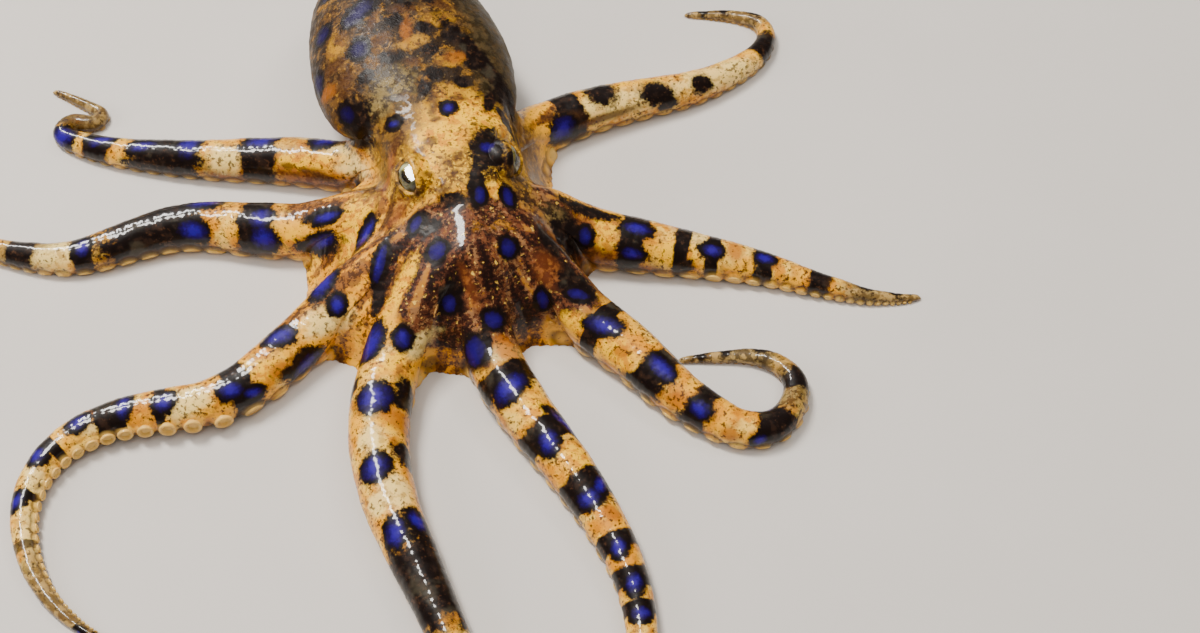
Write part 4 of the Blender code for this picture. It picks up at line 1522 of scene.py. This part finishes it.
class Skin(Shader):
    """The skin's material, with its noises, its grounds and its torn markings."""

    def __init__(self, name):
        super().__init__(name)
        noises = {key: self.lumps(*settings) for key, settings in NOISES.items()}
        noises["flecks"] = self.plus(noises["flecks"], self.swing(noises["broad"], 0.28))
        noises["torn_blotches"] = self.plus(noises["blotches"], self.swing(noises["flecks"], 0.6))
        self.noises, self.streak = noises, self.field("streak")
        self.wobble = self.plus(self.swing(noises["middle"], 1.1), self.swing(noises["small"], 0.7))
        self.torn = self.plus(self.wobble, self.swing(noises["big"], 1.8))

    def ground(self, name):
        """A ground's first colour with its other colours laid over it."""
        colour, *rows = GROUNDS[name]
        for noise_name, low, high, strength, tint, *pull in rows:
            value = self.noises[noise_name]
            if pull:
                value = self.plus(value, self.streak, pull[0])
            colour = self.mix(self.rise(value, low, high, strength), colour, tint)
        return colour

    def blot(self, colour, name, tint, soft, strength, shake):
        """Lays a marking with a torn edge over the colour."""
        edge = self.plus(self.field(name), self.wobble, shake)
        return self.mix(self.rise(edge, 1.0 + soft, 1.0 - soft, strength), colour, tint)


def skin_colour(s, crown_edge):
    """The skin's colour: the grounds, and over them the patches, some of which paint shade and sheen, the
    bands, spots and cups, and painted shade round the cups.
    """
    head, mantle, tip, blue = (s.field(name) for name in ("head", "mantle", "tip", "blue"))
    rooted = s.rise(s.plus(s.field("root"), s.torn, 0.45), 0.35, 0.75)
    colour = s.mix(rooted, s.ground("arms"), s.ground("roots"))
    colour = s.mix(s.rise(crown_edge, 1.18, 0.86), colour, s.ground("web"))
    colour = s.mix(s.rise(s.plus(head, s.wobble, 0.35), 0.3, 0.7), colour, s.ground("face"))
    colour = s.mix(s.rise(s.plus(mantle, s.wobble, 0.35), 0.3, 0.7), colour, s.ground("back"))
    for name, *edge in UNDER_BANDS:
        tint = s.ground(name)
        if name in ON_MANTLE:
            tint = s.mix(s.part(mantle, ON_MANTLE[name]), tint, s.ground(name + " on the mantle"))
        colour = s.blot(colour, name, tint, *edge)
    colour = s.mix(s.rise(s.plus(tip, s.wobble, 0.5), 0.3, 0.8, 0.92), colour, s.ground("tips"))
    # Redder and darker towards the floor and underneath.
    under = s.rise(s.plus(s.field("low_and_under"), s.wobble, 0.4), 0.35, 0.8, 0.85)
    colour = s.mix(under, colour, s.ground("low_and_under"))
    # Painted shade: darkens the mantle's +X side.
    colour = s.mix(s.part(s.field("shaded_flank"), 0.9), colour, s.ground("shaded_flank"))
    band_edge = s.plus(s.plus(s.field("band"), s.torn, 0.62), tip, 0.25)
    banded = s.math("MULTIPLY", s.rise(band_edge, 1.16, 0.84), s.rise(tip, 1.3, 0.2))
    colour = s.mix(banded, colour, s.ground("dark"))
    for name, *edge in OVER_BANDS:
        colour = s.blot(colour, name, s.ground(name), *edge)
    # Painted shade: a brown ring in the moat round each sucker.
    colour = s.mix(s.part(s.field("shade_round_cups"), 0.75), colour, BROWN)
    colour = s.mix(s.part(s.field("cup"), 0.9), colour, CUP)
    blues = s.mix(s.rise(s.plus(blue, s.wobble, 0.9), 0.85, 0.2), BLUE, BRIGHT_BLUE)
    blues = s.mix(s.rise(crown_edge, 1.2, 0.8, 0.7), blues, CROWN_BLUE)
    blues = s.mix(s.part(mantle, 0.85), blues, MANTLE_BLUE)
    return s.mix(s.rise(s.plus(blue, s.wobble, 0.6), 1.12, 0.78), colour, blues)


def skin_material():
    """Wet skin: cream and gold with brown specks, dark bands, and blue spots with near-black rims."""
    s = Skin("wet_skin")
    head, mantle = s.field("head"), s.field("mantle")
    dryness = s.math("MAXIMUM", s.part(mantle, DRY_MANTLE), s.part(head, DRY_HEAD))
    dryness = s.math("MAXIMUM", dryness, s.rise(s.field("dry"), 1.25, 0.75, DRY_PLACES))
    bumps = s.plus(s.part(s.noises["small"], 0.6), s.noises["tiny"], 0.4)
    bumps = s.math("MULTIPLY", bumps, s.math("ADD", s.part(mantle, 1.6), 0.8))
    bump = s.add("ShaderNodeBump", {"Height": bumps, "Strength": 0.35, "Distance": 0.00012})
    shader = s.add("ShaderNodeBsdfPrincipled", {
        "Base Color": skin_colour(s, s.plus(s.field("crown"), s.torn, -0.32)),
        "Roughness": s.math("ADD", s.rise(s.noises["middle"], 0.3, 0.7, 0.2), 0.36),
        "Normal": bump.outputs[0],
        "Specular IOR Level": 0.12,
        "Coat Weight": s.math("SUBTRACT", WETNESS, dryness),
        "Coat Roughness": 0.06,
        "Coat IOR": 1.34,
        "Subsurface Weight": 0.08,
        "Subsurface Scale": 0.0012,
        "Subsurface Radius": (1.0, 0.45, 0.2),
    })
    return s.finish(shader)


def iris_material():
    """The iris: gold and green, flecked with brown, round a black slit, and dark olive behind."""
    s = Shader("iris")
    rays = s.lumps(3600.0, 3.0, 0.7)
    iris = s.mix(s.rise(rays, 0.40, 0.62), IRIS_GOLD, IRIS_GREEN)
    iris = s.mix(s.rise(s.lumps(6500.0), 0.55, 0.65, 0.8), iris, IRIS_SPECKS)
    colour = s.mix(s.field("iris"), EYE_BACK, iris)
    colour = s.mix(s.field("ring"), colour, IRIS_RIM)
    colour = s.mix(s.field("pupil"), colour, SLIT_BLACK)
    return s.finish(s.add("ShaderNodeBsdfPrincipled", {
        "Base Color": colour, "Roughness": s.rise(rays, 0.0, 1.0, 0.8), "Specular IOR Level": 0.1,
    }))


def cornea_material():
    """A clear wet skin over the eye, with a faint breath of unevenness in its shine."""
    s = Shader("cornea")
    clear = s.add("ShaderNodeBsdfTransparent", {"Color": (0.97, 0.98, 0.96, 1.0)})
    sharp = s.add("ShaderNodeBsdfGlossy", {"Roughness": s.rise(s.lumps(900.0), 0.2, 0.8, 0.04)})
    soft = s.add("ShaderNodeBsdfGlossy", {"Roughness": 0.28})
    shine = s.add("ShaderNodeMixShader", {0: 0.02, 1: sharp.outputs[0], 2: soft.outputs[0]})
    edge = s.add("ShaderNodeFresnel", {"IOR": 1.7})
    both = s.add("ShaderNodeMixShader", {0: edge.outputs[0], 1: clear.outputs[0], 2: shine.outputs[0]})
    return s.finish(both)


def floor_material():
    """A plain pale floor with a very faint unevenness."""
    s = Shader("pale_floor")
    colour = s.mix(s.rise(s.lumps(24.0, 4.0), 0.3, 0.7), *FLOOR_COLOURS)
    return s.finish(s.add("ShaderNodeBsdfPrincipled", {
        "Base Color": colour, "Roughness": 0.8, "Specular IOR Level": 0.0,
    }))


# The pieces.


def finished_piece(piece, material, nodes):
    """Gives a piece its material, smooth faces, scale in metres and body, and hides the solids that it stands
    for.
    """
    piece.data.materials.clear()
    piece.data.materials.append(material)
    piece.data.polygons.foreach_set("use_smooth", np.ones(len(piece.data.polygons), bool))
    piece.data.transform(MM * np.eye(4) + np.diag((0.0, 0.0, 0.0, 1.0 - MM)))
    piece.data.update()
    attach(piece, "root")
    if nodes:
        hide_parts(*nodes)


def level_valleys(points, mesh):
    """Fills the narrow valleys between the arms' roots, as the web does, up to a smooth sheet over them."""
    tree = surface_tree(points, mesh)
    low, high = np.array(VALLEY_BOX)
    counts = np.ceil((high - low) / VALLEY_STEP).astype(int) + 1
    heights = np.zeros(counts)
    for i, j in np.ndindex(*counts):
        above = Vector((*(low + VALLEY_STEP * np.array((i, j))), SKY))
        hit = tree.ray_cast(above, Vector(-UP))[0]
        heights[i, j] = hit.z if hit else 0.0
    reach = int(round(VALLEY_WIDTH / VALLEY_STEP))
    offsets = [(i, j) for i, j in np.ndindex(2 * reach + 1, 2 * reach + 1)
               if (i - reach) ** 2 + (j - reach) ** 2 <= reach ** 2]

    def spread(grid, pick):
        """The highest or lowest value within reach of each place."""
        padded = np.pad(grid, reach, mode="edge")
        return pick([padded[i:i + counts[0], j:j + counts[1]] for i, j in offsets], axis=0)

    sheet = spread(spread(heights, np.max), np.min)
    for _ in range(VALLEY_ROUNDS):
        padded = np.pad(sheet, 1, mode="edge")
        beside = padded[:-2, 1:-1] + padded[2:, 1:-1] + padded[1:-1, :-2] + padded[1:-1, 2:]
        sheet = (beside + 2.0 * sheet) / 6.0
    place = (points[:, :2] - low) / VALLEY_STEP
    inside = np.all((place > 0) & (place < counts - 1.001), axis=1)
    cell = np.clip(np.floor(place).astype(int), 0, counts - 2)
    right, back = np.clip(place - cell, 0.0, 1.0).T
    i, j = cell.T
    target = ((sheet[i, j] * (1.0 - right) + sheet[i + 1, j] * right) * (1.0 - back)
              + (sheet[i, j + 1] * (1.0 - right) + sheet[i + 1, j + 1] * right) * back)
    weight = smoothstep(1.02, 0.82, crown_share(points)) * smoothstep(0.6, 2.2, points[:, 2]) * inside
    points = points.copy()
    points[:, 2] += VALLEY_FILL * weight * np.clip(target - points[:, 2], 0.0, DEEPEST_VALLEY)
    return points


def join_weight(points):
    """Where the skin's hollows are filled: beside the arms' roots and across the brow."""
    _, run, _, aside = arm_places(points)
    beside = smoothstep(JOIN_FAR, JOIN_NEAR, np.abs(run + 1.0)) * (aside < JOIN_FAR)
    beside *= smoothstep(1.0, 2.5, points[:, 2])
    brow = smoothstep(JOIN_FAR, JOIN_NEAR, np.abs(points[:, 1] + 5.0)) * (points[:, 2] > 8.0)
    brow *= smoothstep(BROW_FAR, BROW_NEAR, np.abs(points[:, 0]))
    return np.clip(np.maximum(beside, brow), 0.0, 1.0)


def flesh_mesh():
    """One mesh over the arms, the crown, the trunk and the funnel, evened out and with its hollows filled."""
    bodies = [arm_body(arm) for arm in ARMS.values()] + [crown_body(), trunk_body(), funnel_body()]
    mesh = remeshed(joined(bodies, "rough"), CELL)
    edges = read_rows(mesh.edges, "vertices", 2, np.int32)
    points = level_valleys(relax(read_points(mesh), edges), mesh)
    write_points(mesh, settle(points, edges, join_weight(points)))
    return mesh


def plain_fields(piece, values):
    """Gives a piece that is joined to the skin the skin's markings: none, but for the values named."""
    for names, empty in (((*MARKINGS, "halo", "band"), FAR), (("cup", "low_and_under"), 0.0)):
        for name in names:
            set_field(piece.data, name, np.full(len(piece.data.vertices), values.get(name, empty)))


def make_skin():
    """One skin over all the flesh, with its suckers and mouth."""
    mesh = flesh_mesh()
    finer_at_eyes(mesh)
    points = hollow_underside(read_points(mesh), read_normals(mesh))
    points = shape_ridge(points, read_normals(mesh))
    places = arm_places(points)
    trunk = trunk_share(points)
    seats = sucker_seats()
    cup_distance = knobs(points, seats)
    normals = read_normals(mesh)
    points = points + normals * relief(points, normals, trunk, places[1], cup_distance)[:, None]
    points = shape_lids(points)
    points[:, 2] = np.maximum(points[:, 2], 0.0)
    write_points(mesh, points)
    mark_skin(mesh, points, read_normals(mesh), places, trunk, cup_distance)
    skin = placed("skin", mesh)
    lip, beak = mouth_bodies()
    cups = joined([cup_body(*seat) for seat in seats], "cups")
    lips, beaks = joined(lip, "lips"), joined(beak, "beaks")
    plain_fields(cups, {"cup": 0.92, "low_and_under": 1.0})
    plain_fields(lips, {"cup": 0.5, "low_and_under": 1.0})
    plain_fields(beaks, {"dark": 0.0})
    with bpy.context.temp_override(active_object=skin, selected_editable_objects=[skin, cups, lips, beaks]):
        bpy.ops.object.join()
    flesh = [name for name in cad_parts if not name.startswith("eye")]
    finished_piece(skin, skin_material(), flesh)


def make_eye(name, ball_material, clear_material):
    """One eye: a ball with a sunk slit pupil, and a clear cornea over it."""
    centre, look, up, fore = eye_frame(name)
    tilt = np.linspace(0.0, math.pi, EYE_ROWS + 1)[1:-1]
    turn = np.linspace(0.0, 2.0 * math.pi, EYE_SIDES, endpoint=False)
    tilts, turns = (grid.ravel() for grid in np.meshgrid(tilt, turn, indexing="ij"))
    ahead, aside, above = np.cos(tilts), np.sin(tilts) * np.cos(turns), np.sin(tilts) * np.sin(turns)
    ways = look * ahead[:, None] + fore * aside[:, None] + up * above[:, None]
    # The slit bends down a little at both ends, as an octopus's does.
    a, b = EYE_RADIUS * aside / PUPIL[0], EYE_RADIUS * above
    slit = np.hypot(a, (b + PUPIL_SAG * a ** 2) / PUPIL[1])
    pupil = smoothstep(1.06, 0.90, slit) * (tilts < 0.5 * math.pi)
    iris = smoothstep(IRIS_ANGLE * 1.04, IRIS_ANGLE * 0.96, tilts)
    ring = 0.7 * np.exp(-((tilts - IRIS_ANGLE) / 0.11) ** 2)
    rays = RAY_DEPTH * iris * np.cos(turns * IRIS_RAYS)
    depth = BALL_GAP + IRIS_DEPTH * iris + PUPIL_DEPTH * pupil + rays
    for part, sunk, material, nodes in (("_ball", depth, ball_material, [name]),
                                        ("_cornea", np.zeros(len(depth)), clear_material, [])):
        rings = (centre + ways * (EYE_RADIUS - sunk)[:, None]).reshape(len(tilt), EYE_SIDES, 3)
        piece = joined([lofted(list(rings))], name + part)
        if part == "_ball":
            for field, values in (("iris", iris), ("pupil", pupil), ("ring", ring)):
                set_field(piece.data, field, values)
        finished_piece(piece, material, nodes)


def make_eyes():
    """Both eyes."""
    materials = iris_material(), cornea_material()
    for name in EYE_CENTRES:
        make_eye(name, *materials)


# The room.


def add_lamp(name, size, place, watts, colour):
    """One soft rectangular lamp, in millimetres, turned to the body, for all the pieces or only some."""
    lamp = bpy.data.lights.new(name, "AREA")
    lamp.shape = "RECTANGLE"
    lamp.size, lamp.size_y = (value * MM for value in size)
    lamp.energy = watts
    lamp.color = colour
    holder = placed(name, lamp)
    holder.location = Vector(place) * MM
    holder.rotation_euler = (-Vector(place)).to_track_quat("-Z", "Y").to_euler()
    holder.visible_glossy = name not in NEVER_MIRRORED
    holder.visible_diffuse = name not in ONLY_MIRRORED
    holder.visible_camera = False
    if name in ONLY_ON:
        lit = bpy.data.collections.new(name)
        for piece in ONLY_ON[name]:
            lit.objects.link(bpy.data.objects[piece])
        holder.light_linking.receiver_collection = lit


def add_camera():
    """The camera, placed and turned as the photograph's."""
    place, _, _, forward = camera_axes()
    lens = bpy.data.cameras.new("camera")
    lens.lens, lens.sensor_width = LENS, SENSOR
    lens.clip_start = 0.005
    camera = placed("camera", lens)
    camera.location = Vector(place) * MM
    camera.rotation_euler = Vector(forward).to_track_quat("-Z", "Y").to_euler()
    bpy.context.scene.camera = camera


def add_floor():
    """A wide floor under the animal."""
    half = FLOOR_SIZE * MM
    mesh = bpy.data.meshes.new("floor")
    mesh.from_pydata([(-half, -half, 0.0), (half, -half, 0.0), (half, half, 0.0), (-half, half, 0.0)],
                     [], [(0, 1, 2, 3)])
    mesh.materials.append(floor_material())
    placed("floor", mesh)


def make_room():
    """The camera, the floor and the lamps."""
    add_camera()
    add_floor()
    for lamp in LAMPS:
        add_lamp(*lamp)
    world = bpy.data.worlds.new("studio")
    world.use_nodes = True
    background = world.node_tree.nodes["Background"]
    background.inputs[0].default_value, background.inputs[1].default_value = SURROUNDINGS
    bpy.context.scene.world = world


def main():
    """Builds every piece round the frame, and the room."""
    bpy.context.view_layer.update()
    make_skin()
    make_eyes()
    make_room()


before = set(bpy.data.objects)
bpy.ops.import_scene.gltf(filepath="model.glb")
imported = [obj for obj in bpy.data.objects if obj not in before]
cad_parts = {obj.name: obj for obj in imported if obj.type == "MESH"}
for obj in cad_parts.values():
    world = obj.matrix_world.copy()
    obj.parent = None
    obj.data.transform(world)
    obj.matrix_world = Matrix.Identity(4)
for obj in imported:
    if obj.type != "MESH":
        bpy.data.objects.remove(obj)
main()
